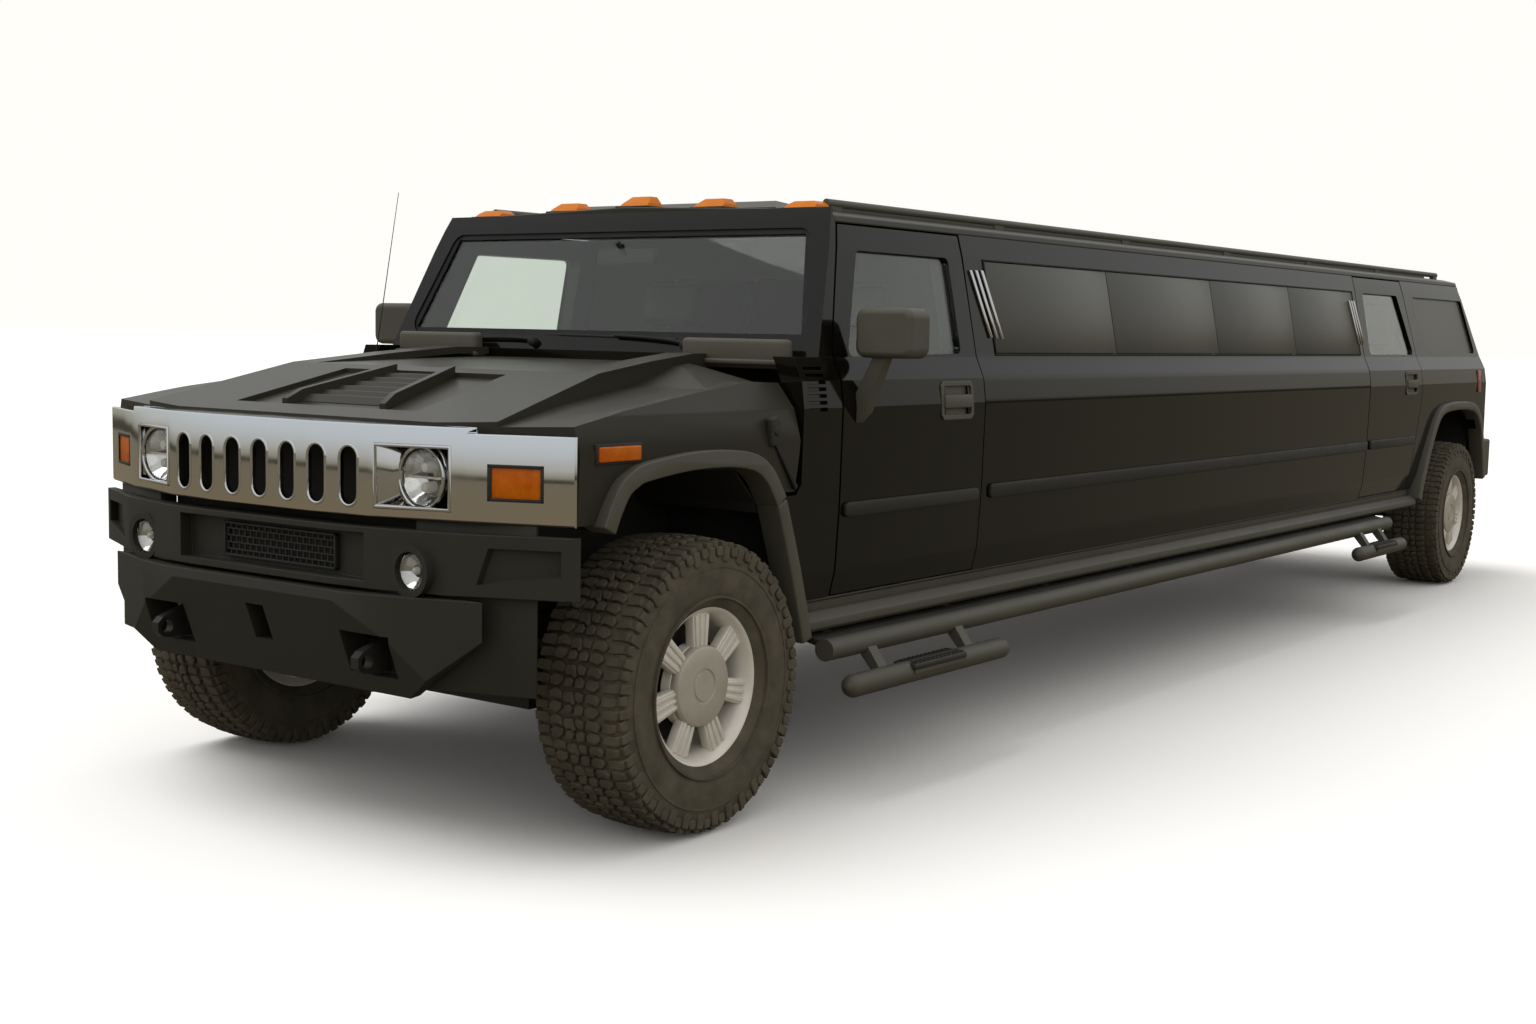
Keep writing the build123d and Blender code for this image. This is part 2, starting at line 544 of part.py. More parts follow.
def liftgate():
    outer = rear_outline(0, GATE_FOOT_Z)
    inner = rear_outline(DOOR_WALL, GATE_FOOT_Z)
    shape = prism_x(outer + list(reversed(inner)), -GATE_HALF, GATE_HALF)
    shape &= block((-GATE_HALF, GATE_HALF), (Y_REAR, Y_TAIL), (0, GATE_TOP[1] - 2))
    shape -= prism_y(GATE_WINDOW, Y_REAR, Y_TAIL, 30)
    for x in (-GATE_HINGE_X, GATE_HINGE_X):
        y, z = GATE_HINGE
        shape -= block((x - 34, x + 34), (y - 90, y + 12), (z - 12, z + 60))
        shape += Pos(x, y, z) * Cylinder(KNUCKLE_RADIUS + 4, 44, rotation=(0, 90, 0))
        shape -= Pos(x, y, z) * Cylinder(PIN_RADIUS + RUNNING_GAP, 60, rotation=(0, 90, 0))
    return shape


GATE_WINDOW = [(-690, 1400), (690, 1400), (650, 1690), (-650, 1690)]
GATE_HINGE = (GATE_TOP[0] - 17, GATE_TOP[1] - 26)
GATE_HINGE_X = 480.0
HEADER_Z = GATE_TOP[1] + 14   # underside of the roof's rear header


def liftgate_glass():
    outer = rear_outline(GLASS_INSET, GATE_FOOT_Z)
    inner = rear_outline(GLASS_INSET + GLASS, GATE_FOOT_Z)
    layer = prism_x(outer + list(reversed(inner)), -GATE_HALF, GATE_HALF)
    return layer & prism_y(GATE_WINDOW, Y_REAR, Y_TAIL, 30)


def gate_hinges():
    """Goose-neck ears and pins under the rear header."""
    y, z = GATE_HINGE
    ears = None
    for x in (-GATE_HINGE_X, GATE_HINGE_X):
        piece = Pos(x, y, z) * Cylinder(PIN_RADIUS, 62, rotation=(0, 90, 0))
        for side in (-27, 27):
            xs = (x + side - 4, x + side + 4)
            piece += block(xs, (y - 60, y + 5), (z - 5, z + 5)) + block(xs, (y - 60, y - 50), (z, HEADER_Z))
        ears = piece if ears is None else ears + piece
    return ears


# ------------------------------------------------------------------ roof and windscreen
ROOF_CROWN = GUTTER_Z + ROOF_RISE
ROOF_THICK = 40.0
ROOF_REAR = GATE_TOP[0] - 7


def roof_panel():
    edge = half_width(GUTTER_Z)
    outer = [(edge, GUTTER_Z), (edge - 8, GUTTER_Z + 24), (edge - 90, ROOF_CROWN - 24)]
    inner = [(edge - 100, GUTTER_Z), (edge - 130, GUTTER_Z + 10)]
    left = outer + [(0, ROOF_CROWN)]
    under = [(0, ROOF_CROWN - ROOF_THICK)] + list(reversed(inner))
    half = prism_y(left + under, ROOF_FRONT, ROOF_REAR)
    header = block((-GATE_HALF, GATE_HALF), (ROOF_REAR - 90, ROOF_REAR), (HEADER_Z, ROOF_CROWN - ROOF_THICK))
    return half + right_of(half) + header


def windscreen_frame():
    """Posts and header round the windscreen."""
    front, rear = A_PILLAR_Y - 76, A_PILLAR_Y
    side = [
        (front, BELT_Z), (rear, BELT_Z), (rear, 1400), (rear + 131, GUTTER_Z), (ROOF_FRONT, GUTTER_Z),
        (ROOF_FRONT, ROOF_CROWN - 20), (ROOF_FRONT - 24, GUTTER_Z),
    ]
    frame = prism_x(side, -SKIN_X, SKIN_X) & body_prism(front - 50, ROOF_FRONT + 50)
    frame -= prism_y(SCREEN, front - 60, ROOF_FRONT + 60, 50)
    return frame


SCREEN = [(-900, 1420), (900, 1420), (800, 1782), (-800, 1782)]


def windscreen():
    lean = (ROOF_FRONT - 24 - (A_PILLAR_Y - 76)) / (GUTTER_Z - BELT_Z)
    y0 = A_PILLAR_Y - 76 + GLASS_INSET
    y1 = y0 + lean * (GUTTER_Z - BELT_Z)
    sheet = prism_x([(y0, BELT_Z), (y0 + GLASS, BELT_Z), (y1 + GLASS, GUTTER_Z), (y1, GUTTER_Z)], -SKIN_X, SKIN_X)
    return sheet & prism_y(SCREEN, y0 - 50, y1 + 50, 50)


def roof_z(x):
    """Height of the roof's outer face at a distance from the centre line."""
    return ROOF_CROWN - 24 * abs(x) / (half_width(GUTTER_Z) - 90)


ROOF_LAMP_X = (-709, -331, 0, 331, 709)


def on_roof(x0, x1, y0, y1, top):
    """Block that stands on the roof."""
    ridge = [(0, ROOF_CROWN)] if x0 < 0 < x1 else []
    return prism_y([(x0, roof_z(x0)), *ridge, (x1, roof_z(x1)), (x1, top), (x0, top)], y0, y1)


def roof_rails():
    z = ROOF_CROWN + 2
    rails = rod((755, ROOF_FRONT + 120, z), (755, ROOF_REAR - 60, z), 15)
    span = ROOF_REAR - ROOF_FRONT - 260
    for n in range(7):
        y = ROOF_FRONT + 160 + span * n / 6
        rails += on_roof(743, 767, y - 35, y + 35, z)
    return both(rails) + deflector()


DEFLECTOR_X, DEFLECTOR_Y = 525.0, (ROOF_FRONT + 180, ROOF_FRONT + 330)


def deflector():
    """Low wind deflector across the roof, behind the marker lamps."""
    front, rear = DEFLECTOR_Y
    wedge = prism_x([
        (front, GUTTER_Z), (front, ROOF_CROWN), (front + 90, ROOF_CROWN + 28), (rear, ROOF_CROWN + 20),
        (rear, GUTTER_Z)], -DEFLECTOR_X, DEFLECTOR_X)
    half = DEFLECTOR_X
    over = [(-half, roof_z(half)), (0, ROOF_CROWN), (half, roof_z(half)), (half, roof_z(half) + 6),
            (half - 110, ROOF_CROWN + 40), (110 - half, ROOF_CROWN + 40), (-half, roof_z(half) + 6)]
    return wedge & prism_y(over, front, rear)


# ------------------------------------------------------------------ hood and nose
# Ridge line of the raised middle: distance behind the front axle, height.
HOOD_CROWN = [(-632, 1187), (-100, 1318), (200, 1352), (450, 1374), (585, 1374)]
DISH = [(-100, 1318), (300, 1334), (586, 1342)]   # its sunk middle towards the windscreen
INSERT = [(-395, -545), (395, -545), (355, -150), (-355, -150)]   # plan of the louvre's pocket
INSERT_DEEP = 14.0
BLADES = 6
BLADE_THICK = 9.0
RIB_FOOT, RIB_HEAD = (226.0, -508.0), (140.0, -150.0)   # outer edge of a rib, front and rear
RIB_WIDE = 24.0


# Plan of the hood's front edge: x, distance behind the front axle.
HOOD_NOSE = [(560, -632), (725, -602), (SKIN_X - 2, -538)]


def crown_z(y):
    """Height of the raised middle behind the front axle."""
    for (y0, z0), (y1, z1) in zip(HOOD_CROWN, HOOD_CROWN[1:]):
        if y0 <= y <= y1:
            return z0 + (z1 - z0) * (y - y0) / (y1 - y0)
    raise ValueError(y)


def hood_solid(inset):
    """Clamshell form: side profile, fender shoulders and a raised middle."""
    front, rear = HOOD_FRONT + inset, HOOD_REAR
    fender = [
        (front, 800), (front, 1176 - inset), (Y_FRONT - 300, 1232 - inset), (Y_FRONT, 1268 - inset),
        (Y_FRONT + 300, 1298 - inset), (Y_FRONT + 460, 1292 - inset), (Y_FRONT + 460, 800),
    ]
    half = SKIN_X - 2 - inset
    nose = [(min(x, half), Y_FRONT + y + inset) for x, y in HOOD_NOSE]
    plan, whole_plan = (both_ways(nose + [(half, y)]) for y in (Y_FRONT + 460, rear))
    section = [(half - 26, 600), (half, 1120), (half - 26, 1215), (half - 90, 1300), (0, 1320)]
    shape = prism_x(fender, -half, half) & prism_z(plan, 700, 1500)
    shape &= prism_y([(-x, z) for x, z in section[:-1]] + list(reversed(section)), front, rear)
    crown = [(Y_FRONT + y, z - inset) for y, z in HOOD_CROWN[1:]]
    middle = prism_x([(front, 800), (front, HOOD_CROWN[0][1] - inset), *crown, (rear, 800)], -900, 900)
    middle &= prism_z(whole_plan, 700, 1500)
    middle &= prism_z([(-560 + inset, rear), (-765 + inset, front), (765 - inset, front), (560 - inset, rear)], 700, 1500)
    dish = prism_x([(Y_FRONT + y, z - inset) for y, z in DISH] + [(rear + 1, 1500), (Y_FRONT - 100, 1500)], -900, 900)
    dish &= prism_z([(-450, rear + 1), (-560, Y_FRONT - 101), (560, Y_FRONT - 101), (450, rear + 1)], 700, 1501)
    return shape + (middle - dish)


def louvre():
    """Transverse blades in the hood's pocket, between two fore-and-aft ribs."""
    (x0, y0), (x1, y1) = RIB_FOOT, RIB_HEAD
    side = [
        (Y_FRONT + y0, crown_z(y0) - INSERT_DEEP - 2), (Y_FRONT + y0, crown_z(y0) + 4),
        (Y_FRONT + y0 + 50, crown_z(y0 + 50) + 20), (Y_FRONT + y1, crown_z(y1) + 20),
        (Y_FRONT + y1, crown_z(y1) - INSERT_DEEP - 2),
    ]
    plan = [(x0, Y_FRONT + y0), (x0 - RIB_WIDE, Y_FRONT + y0), (x1 - RIB_WIDE, Y_FRONT + y1), (x1, Y_FRONT + y1)]
    ribs = both(prism_x(side, 100, 300) & prism_z(plan, 1100, 1500))
    pitch = (y1 - y0) / (BLADES + 1)
    for n in range(1, BLADES + 1):
        y = y0 + pitch * n
        half = x0 + (x1 - x0) * (y - y0) / (y1 - y0) - RIB_WIDE / 2
        z = crown_z(y)
        ribs += prism_x([
            (Y_FRONT + y - BLADE_THICK, z - INSERT_DEEP - 3), (Y_FRONT + y + 2 * BLADE_THICK, z + 6),
            (Y_FRONT + y + 3 * BLADE_THICK, z + 4), (Y_FRONT + y + BLADE_THICK, z - INSERT_DEEP - 3)], -half, half)
    return ribs


def hood():
    shell = hood_solid(0) - hood_solid(HOOD_SKIN)
    pocket = prism_z([(x, Y_FRONT + y) for x, y in INSERT], 1100, 1500)
    shell -= pocket - hood_solid(INSERT_DEEP)
    shell += louvre()
    reach = Y_FRONT + 454 - HOOD_HINGE[0]
    keep = Pos(0, HOOD_HINGE[0], HOOD_HINGE[1]) * Cylinder(reach, 3000, rotation=(0, 90, 0))
    keep += block((-600, 600), (Y_FRONT, HOOD_REAR + 1), (HOOD_UNDER, 1500))
    shell &= keep
    shell -= block((-1100, 1100), (HOOD_FRONT + HOOD_SKIN, HOOD_REAR + 1), (600, 930))
    shell -= block((-950, 950), (HOOD_FRONT - 1, Y_FRONT - 560), (600, 1150))
    shell -= block((-1100, 1100), (Y_FRONT, HOOD_REAR + 1), (600, 966))
    shell -= arch_prism(FRONT_ARCH, Y_FRONT, FLARE - LINER - SHUT_GAP, -1100, 1100)
    for x in (-HOOD_HINGE_X, HOOD_HINGE_X):
        y, z = HOOD_HINGE
        shell -= block((x - 34, x + 34), (y - 22, y + 60), (z - 60, z + 10))
        shell -= block((x - 34, x + 34), (y - 40, y - 20), (z - 60, z - 3))
        shell += Pos(x, y, z) * Cylinder(KNUCKLE_RADIUS, 42, rotation=(0, 90, 0))
        shell += block((x - 21, x + 21), (y - 6, y + 6), (z + 6, z + 12))
        shell -= Pos(x, y, z) * Cylinder(PIN_RADIUS + RUNNING_GAP, 60, rotation=(0, 90, 0))
    return shell


HOOD_HINGE_X = 420.0


def front_carrier():
    """Radiator panel with the hood's hinge brackets."""
    panel = block((-560, 560), (Y_FRONT - 640, Y_FRONT - 600), (FRAME_Z + FRAME_HIGH, 1120))
    radiator = block((-380, 380), (Y_FRONT - 600, Y_FRONT - 540), (FRAME_Z + FRAME_HIGH + 10, 1060))
    y, z = HOOD_HINGE
    bracket = block((440, 486), (NOSE_BACK, Y_FRONT - 638), (930, 1090))
    carrier = panel + radiator + both(bracket)
    for x in (-HOOD_HINGE_X, HOOD_HINGE_X):
        for side in (-27, 27):
            carrier += block((x + side - 4, x + side + 4), (y - 7, y + 7), (1100, z + 6))
        carrier += Pos(x, y, z) * Cylinder(PIN_RADIUS, 62, rotation=(0, 90, 0))
    return carrier


def tail_panel():
    """Fixed panel under the liftgate, between the rear posts."""
    half = GATE_HALF + SHUT_GAP
    return block((-half, half), (GATE_FOOT_Y - WALL, GATE_FOOT_Y), (SILL_Z, GATE_FOOT_Z - SHUT_GAP))


def sills():
    """Closed box sections under the doors, between the wheel arches."""
    outer = half_width(SILL_Z)
    section = [(FLOOR_HALF, 560), (outer - 14, 560), (outer, SILL_Z), (FLOOR_HALF, SILL_Z)]
    return both(prism_y(section, Y_FRONT + 505, Y_REAR - 740))


def sill_cladding():
    """Satin band along the sill's lower outer edge."""
    outer = half_width(SILL_Z)
    section = [
        (FLOOR_HALF + 10, 560), (FLOOR_HALF + 10, 540), (SKIN_X - 12, 518), (SKIN_X + 2, 530), (SKIN_X + 2, 556),
        (outer + 6, 575), (outer - 10, 575), (outer - 14, 560),
    ]
    return both(prism_y(section, Y_FRONT + 505, Y_REAR - 740))


def body_cladding():
    front = flare(FRONT_ARCH, Y_FRONT, 1200, 510, half_width(SILL_Z)) - body_prism(Y_FRONT, Y_FRONT + 900)
    front &= block((-1100, 1100), (Y_FRONT, Y_FRONT + 900), (0, FLARE_SPLIT_Z - SHUT_GAP))
    rear = flare(REAR_ARCH, Y_REAR, SILL_Z, SILL_Z + 5, SKIN_X - 40) - body_prism(Y_REAR - 900, Y_REAR + 900)
    return sill_cladding() + front + rear


def hood_flares():
    """Front arch mouldings above the split, fixed to the hood's sides."""
    return flare(FRONT_ARCH, Y_FRONT, 950, FLARE_SPLIT_Z, SKIN_X - 60) - hood_solid(0)


GRILLE_Z = (928.0, 1181.0)
GRILLE_SLOTS = 7
SLOT_PITCH = 120.0
SLOT_WIDE = 72.0
SLOT_Z = (933.0 + 20, 1122.0)
NOSE_BACK = HOOD_FRONT - 12    # rear face of the nose, clear of the hood's swing
NOSE_CHAMFER = 10.0          # along the top edge that the hood's front swings past
LAMP_X, LAMP_Z, LAMP_RADIUS = 572.0, 1041.0, 80.0
LAMP_RECESS_X, LAMP_RECESS_Z = (448.0, 680.0), (955.0, 1132.0)
LAMP_FLOOR_Y = Y_FRONT - 672    # back of the recess round a headlamp
INDICATOR_X, INDICATOR_Z = (780.0, 927.0), (990.0, 1088.0)


# Plan of the nose's front and rear faces, from the left end to the middle: x, distance behind the front axle.
NOSE_FRONT = [(SKIN_X, -562), (855, -623), (725, -676), (430, -754), (215, -773)]
NOSE_REAR = [(SKIN_X, -552), (725, -634), (560, -644)]
NOSE_STEP_X, NOSE_STEP_Z = 725.0, 1166.0   # the corners stand lower than the middle


def nose_plan(inset=0.0):
    """Plan of the nose from corner to corner, drawn in at its front and ends; the corners are swept back."""
    left = [(min(x, SKIN_X - inset), Y_FRONT + y + inset) for x, y in reversed(NOSE_FRONT)]
    left += [(min(x, SKIN_X - inset), Y_FRONT + y) for x, y in NOSE_REAR]
    return both_ways(left)


def grille_surround():
    low, high = GRILLE_Z
    body = prism_z(nose_plan(), low, high)
    body -= prism_x([
        (NOSE_BACK - NOSE_CHAMFER - 1, high + 1), (NOSE_BACK + 1, high + 1), (NOSE_BACK + 1, high - NOSE_CHAMFER - 1)],
        -900, 900)
    body -= both(block((NOSE_STEP_X, SKIN_X + 1), (Y_NOSE, Y_FRONT - 500), (NOSE_STEP_Z, high + 1)))
    wall = 18.0
    cavity = prism_z(nose_plan(wall), low + wall, high - wall)
    solid_cheek = block((LAMP_X - 140, SKIN_X), (Y_NOSE, Y_FRONT - 500), (low, 1150))
    body -= cavity - both(solid_cheek)
    for n in range(GRILLE_SLOTS):
        x = (n - (GRILLE_SLOTS - 1) / 2) * SLOT_PITCH
        slot = Plane(origin=(x, Y_FRONT - 790, sum(SLOT_Z) / 2), x_dir=(1, 0, 0), z_dir=(0, -1, 0)) * SlotOverall(
            SLOT_Z[1] - SLOT_Z[0], SLOT_WIDE, rotation=90)
        body -= extrude(slot, 80, dir=(0, 1, 0))
    body -= both(block(LAMP_RECESS_X, (Y_NOSE, LAMP_FLOOR_Y), LAMP_RECESS_Z))
    lamp_hole = rod((LAMP_X, Y_FRONT - 800, LAMP_Z), (LAMP_X, Y_FRONT - 600, LAMP_Z), LAMP_RADIUS + RUNNING_GAP)
    indicator = block(INDICATOR_X, (Y_FRONT - 800, Y_FRONT - 560), INDICATOR_Z)
    return body - both(lamp_hole) - both(indicator)


def headlamps():
    lamp = rod((LAMP_X, LAMP_FLOOR_Y - 18, LAMP_Z), (LAMP_X, Y_FRONT - 640, LAMP_Z), LAMP_RADIUS)
    fog = rod((FOG_X, FOG_FACE_Y + 8, FOG_Z), (FOG_X, FOG_FACE_Y + 28, FOG_Z), FOG_RADIUS - RUNNING_GAP)
    return both(lamp) + both(fog)


def amber_lamps():
    """Front indicators behind the nose and the roof's marker lamps."""
    lens = prism_z(nose_plan(8), *INDICATOR_Z) - prism_z(nose_plan(20), 900, 1200)
    lens &= block(INDICATOR_X, (Y_FRONT - 800, Y_FRONT - 560), INDICATOR_Z)
    lamps = both(lens)
    y = ROOF_FRONT + 70
    for x in ROOF_LAMP_X:
        top = ROOF_CROWN + 38 - abs(x) / 40
        lamp = on_roof(x - 70, x + 70, y - 45, y + 45, top)
        lamp &= prism_y([(x - 90, 1700), (x - 66, roof_z(x) + 12), (x - 44, top + 1), (x + 44, top + 1),
                         (x + 66, roof_z(x) + 12), (x + 90, 1700)], y - 50, y + 50)
        lamps += lamp & prism_x([(y - 50, 1700), (y - 44, roof_z(x) + 10), (y - 10, top + 1), (y + 50, top + 1),
                                 (y + 50, 1700)], x - 90, x + 90)
    return lamps


FOG_X, FOG_Z, FOG_RADIUS = 583.0, 794.0, 53.0
FOG_FACE_Y = Y_FRONT - 738
HOOK_X = RAIL_X


# Sunk triangle at each end of the bumper, and the bumper's plan as for the nose.
CORNER_RECESS = [(985, 868), (985, 800), (770, 770), (800, 868)]
BUMPER_FRONT = [(300, -782), (430, -768), (711, -708), (1016, -575)]
BUMPER_REAR = [(1016, -545), (715, -655), (620, -700)]
GUARD_PLAN = [(350, -813), (550, -773), (717, -717), (800, -690)]


def corner_plan(inset):
    """Plan of the upper bumper, its front drawn in by the inset."""
    left = [(min(x, 1016 - inset), Y_FRONT + y + inset) for x, y in BUMPER_FRONT]
    left += [(min(x, 1016 - inset), Y_FRONT + y) for x, y in BUMPER_REAR]
    return both_ways(left)


def front_bumper():
    upper = prism_z(corner_plan(0), 737, 903)
    recess = block((-360, 430), (Y_NOSE, Y_FRONT - 735), (758, 886))
    corner = prism_y(CORNER_RECESS, Y_NOSE, Y_FRONT - 500) - prism_z(corner_plan(20), 700, 950)
    fog = rod((FOG_X, Y_NOSE, FOG_Z), (FOG_X, FOG_FACE_Y + 30, FOG_Z), FOG_RADIUS)
    lower = prism_x([
        (Y_NOSE, 700), (Y_NOSE + 10, 727), (Y_FRONT - 690, 727), (Y_FRONT - 690, 450), (Y_FRONT - 720, 443)],
        -800, 800)
    lower &= prism_y([(-800, 727), (800, 727), (800, 620), (560, 443), (-560, 443), (-800, 620)], Y_NOSE, Y_FRONT)
    lower &= prism_z(both_ways([(x, Y_FRONT + y) for x, y in GUARD_PLAN]), 400, 800)
    window = block((HOOK_X - 95, HOOK_X + 95), (Y_NOSE - 1, Y_FRONT - 680), (495, 615))
    slot = block((-38, 38), (Y_NOSE - 1, Y_FRONT - 680), (548, 652))
    core = block((-600, 600), (Y_FRONT - 732, RAIL_NOSE), (720, 740))
    bezel = rod((FOG_X, FOG_FACE_Y - 10, FOG_Z), (FOG_X, FOG_FACE_Y + 20, FOG_Z), FOG_RADIUS + 18) - fog
    return upper - recess - both(fog) - both(corner) + both(bezel) + (lower - both(window) - slot) + core


TOW_EYE_RADIUS = 20.0
TOW_EYE_Y = Y_NOSE + 35
TOW_EYE_Z = 538.0


def tow_hooks():
    plate = prism_x([
        (RAIL_NOSE, 505), (RAIL_NOSE, 598), (Y_NOSE + 70, 585), (Y_NOSE + 20, 568), (Y_NOSE + 3, 552),
        (Y_NOSE + 3, 524), (Y_NOSE + 20, 508), (Y_NOSE + 50, 505)], HOOK_X - 15, HOOK_X + 15)
    eye = rod((HOOK_X - 20, TOW_EYE_Y, TOW_EYE_Z), (HOOK_X + 20, TOW_EYE_Y, TOW_EYE_Z), TOW_EYE_RADIUS)
    return both(plate - eye)


BUMPER_Z = (SILL_Z, 851.0)


def rear_bumper():
    plan = [
        (-1000, GATE_FOOT_Y), (-1000, Y_TAIL - 90), (-900, Y_TAIL), (900, Y_TAIL), (1000, Y_TAIL - 90),
        (1000, GATE_FOOT_Y)]
    bar = prism_z(plan, *BUMPER_Z)
    return bar - block((-820, 820), (GATE_FOOT_Y, GATE_FOOT_Y + 90), (BUMPER_Z[0] - 1, BUMPER_Z[1] - 60))


RECEIVER = 70.0
HITCH_PIN_RADIUS = 8.0


def hitch_receiver():
    y0, y1 = Y_TAIL - 230, Y_TAIL - 20
    top = FRAME_Z + FRAME_HIGH - 60
    tube = block((-RECEIVER / 2, RECEIVER / 2), (y0, y1), (top - RECEIVER, top))
    tube -= block((-26, 26), (y0 + 10, y1 + 1), (top - RECEIVER / 2 - 26, top - RECEIVER / 2 + 26))
    pin = rod((-60, y1 - 60, top - RECEIVER / 2), (60, y1 - 60, top - RECEIVER / 2), HITCH_PIN_RADIUS)
    return tube - pin


def tail_lamps():
    band = prism_x(rear_outline(-14, SILL_Z) + list(reversed(rear_outline(0, SILL_Z))), GATE_HALF + 20, GATE_HALF + 100)
    return both(band & block((0, SKIN_X), (Y_REAR, Y_TAIL), (930, 1290)))


TUBE_X, TUBE_Z, TUBE_RADIUS = 1047.0, 470.0, 35.0
STEP_X, STEP_Z, STEP_RADIUS = 1136.0, 366.0, 27.0
STEP_Y = ((Y_FRONT + 560, Y_FRONT + 1500), (Y_REAR - 2069, Y_REAR - 1380))   # under the two doors
PAD_LONG = 320.0


def side_steps():
    """Side tube with its brackets, and the lower steps at the doors."""
    y0, y1 = Y_FRONT + 540, Y_REAR - 1359
    steps = rod((TUBE_X, y0, TUBE_Z), (TUBE_X, y1, TUBE_Z), TUBE_RADIUS)
    count = 8
    for n in range(count):
        y = y0 + 120 + (y1 - y0 - 240) * n / (count - 1)
        steps += prism_y([(FLOOR_HALF + 30, 540), (FLOOR_HALF + 30, 520), (TUBE_X, TUBE_Z - 12), (TUBE_X, TUBE_Z + 12)],
                         y - 20, y + 20)
    for first, last in STEP_Y:
        steps += rod((STEP_X, first, STEP_Z), (STEP_X, last, STEP_Z), STEP_RADIUS)
        middle = (first + last) / 2
        steps += block((STEP_X - 42, STEP_X + 42), (middle - PAD_LONG / 2, middle + PAD_LONG / 2),
                       (STEP_Z, STEP_Z + STEP_RADIUS + 4))
        for y in (first + 200, last - 200):
            steps += prism_y([
                (TUBE_X - 26, TUBE_Z), (TUBE_X + 26, TUBE_Z), (STEP_X + 12, STEP_Z), (STEP_X - 24, STEP_Z)],
                y - 24, y + 24)
    return both(steps) - sill_cladding()


MIRROR_X, MIRROR_Z = 1110.0, (1372.0, 1528.0)


def side_mirror():
    y = DOOR1_Y[0] + 90
    arm = prism_y([(990, 1150), (990, 1240), (1060, 1372), (1110, 1372), (1040, 1200)], y - 22, y + 22) - body_prism(
        y - 30, y + 30)
    head = block((MIRROR_X - 105, MIRROR_X + 105), (y - 45, y + 65), MIRROR_Z)
    head = fillet(head.edges().filter_by(Axis.Y), 34)
    return arm + fillet(head.faces().sort_by(Axis.Y)[0].edges(), 20)


def front_seats():
    """Two seats on plain bases."""
    seats = None
    y = Y_FRONT + 1050
    for x in (-430, 430):
        shape = block((x - 200, x + 200), (y, y + 420), (FLOOR_Z + FLOOR_THICK + 150, 950))
        shape += prism_x([(y + 420, 800), (y + 520, 1480), (y + 430, 1480), (y + 320, 900)], x - 200, x + 200)
        shape += block((x - 160, x + 160), (y + 40, y + 400), (FLOOR_Z + FLOOR_THICK, 800))
        seats = shape if seats is None else seats + shape
    return seats


def dashboard():
    y = COWL_Y + 40
    face = [
        (y, FLOOR_Z + 260), (y, SCUTTLE_Z), (A_PILLAR_Y + SHUT_GAP, SCUTTLE_Z), (A_PILLAR_Y + 20, BELT_Z - 60),
        (y + 330, BELT_Z - 90), (y + 380, 1130), (y + 300, 980), (y + 120, 880),
    ]
    return prism_x(face, -830, 830)


def steering_wheel():
    x, y, z = -400, COWL_Y + 440, 1190
    ring = Torus(180, 14)
    spokes = Box(360, 34, 16) + Cylinder(56, 40)
    column = Pos(0, 0, -90) * Cylinder(24, 160)
    wheel = Pos(x, y, z) * (Rot(-62, 0, 0) * (ring + spokes + column))
    return wheel - dashboard()


def partition():
    y = STRETCH_Y[0] + 14
    wall = body_prism(y, y + 30, WALL + RUNNING_GAP)
    wall &= block((-1000, 1000), (y - 1, y + 31), (FLOOR_Z + FLOOR_THICK, GUTTER_Z))
    return wall - block((-450, 450), (y - 1, y + 31), (1250, 1640))


def saloon_seats():
    """Long bench on the right side and the rear bench."""
    z = FLOOR_Z + FLOOR_THICK
    y0, y1 = STRETCH_Y[0] + 500, DOOR2_Y[0] - 100
    x = -half_width(SILL_Z) + WALL + 10
    bench = block((x, x + 520), (y0, y1), (z, z + 330)) + block((x, x + 130), (y0, y1), (z + 330, z + 700))
    raised = LOAD_FLOOR_Z + FLOOR_THICK
    rear = block((-HOUSE_X + 10, HOUSE_X - 10), (Y_REAR - 440, Y_REAR + 60), (raised, raised + 280))
    rear += block((-HOUSE_X + 10, HOUSE_X - 10), (Y_REAR - 60, Y_REAR + 80), (raised + 280, raised + 700))
    return bench + rear


def bar_cabinet():
    z = FLOOR_Z + FLOOR_THICK
    x = half_width(SILL_Z) - WALL - 10
    return block((x - 330, x), (STRETCH_Y[0] + 900, DOOR2_Y[0] - 700), (z, z + 560))


PARTS = {}


def export(node, shape):
    """Write one node's solids to its own STEP file."""
    PARTS[node] = shape
    export_step(shape, f"parts/{node}.step")


os.makedirs("parts", exist_ok=True)
for end, y in (("front", Y_FRONT), ("rear", Y_REAR)):
    for name, side in (("left", 1), ("right", -1)):
        export(f"{name}_{end}_tyre", tyre(y, side))
        export(f"{name}_{end}_rim", rim(y, side))
export("left_knuckle", knuckle())
export("right_knuckle", right_of(knuckle()))
export("tie_rod", tie_rod())
export("front_suspension", front_suspension())
export("rear_axle", rear_axle())
export("ladder_frame", ladder_frame())
export("powertrain", powertrain())
export("exhaust", exhaust())
export("fuel_tank", fuel_tank())
export("floor_pan", floor_pan())
export("rear_wheelhouses", rear_wheelhouses())
export("bulkhead", bulkhead() + cowl_sides())
DOORS = (("front", FRONT_DOOR, WINDOW1), ("rear", REAR_DOOR, WINDOW2))
for place, shape, window in DOORS:
    leaf = door(shape, window)
    glass = pane(window, 24)
    export(f"left_{place}_door", leaf)
    export(f"right_{place}_door", right_of(leaf))
    export(f"left_{place}_door_glass", glass)
    export(f"right_{place}_door_glass", right_of(glass))
export("hinges", door_hinges() + gate_hinges())
export("stretch_panels", both(stretch_panel()))
side_glass = pane(QUARTER_WINDOW, 24)
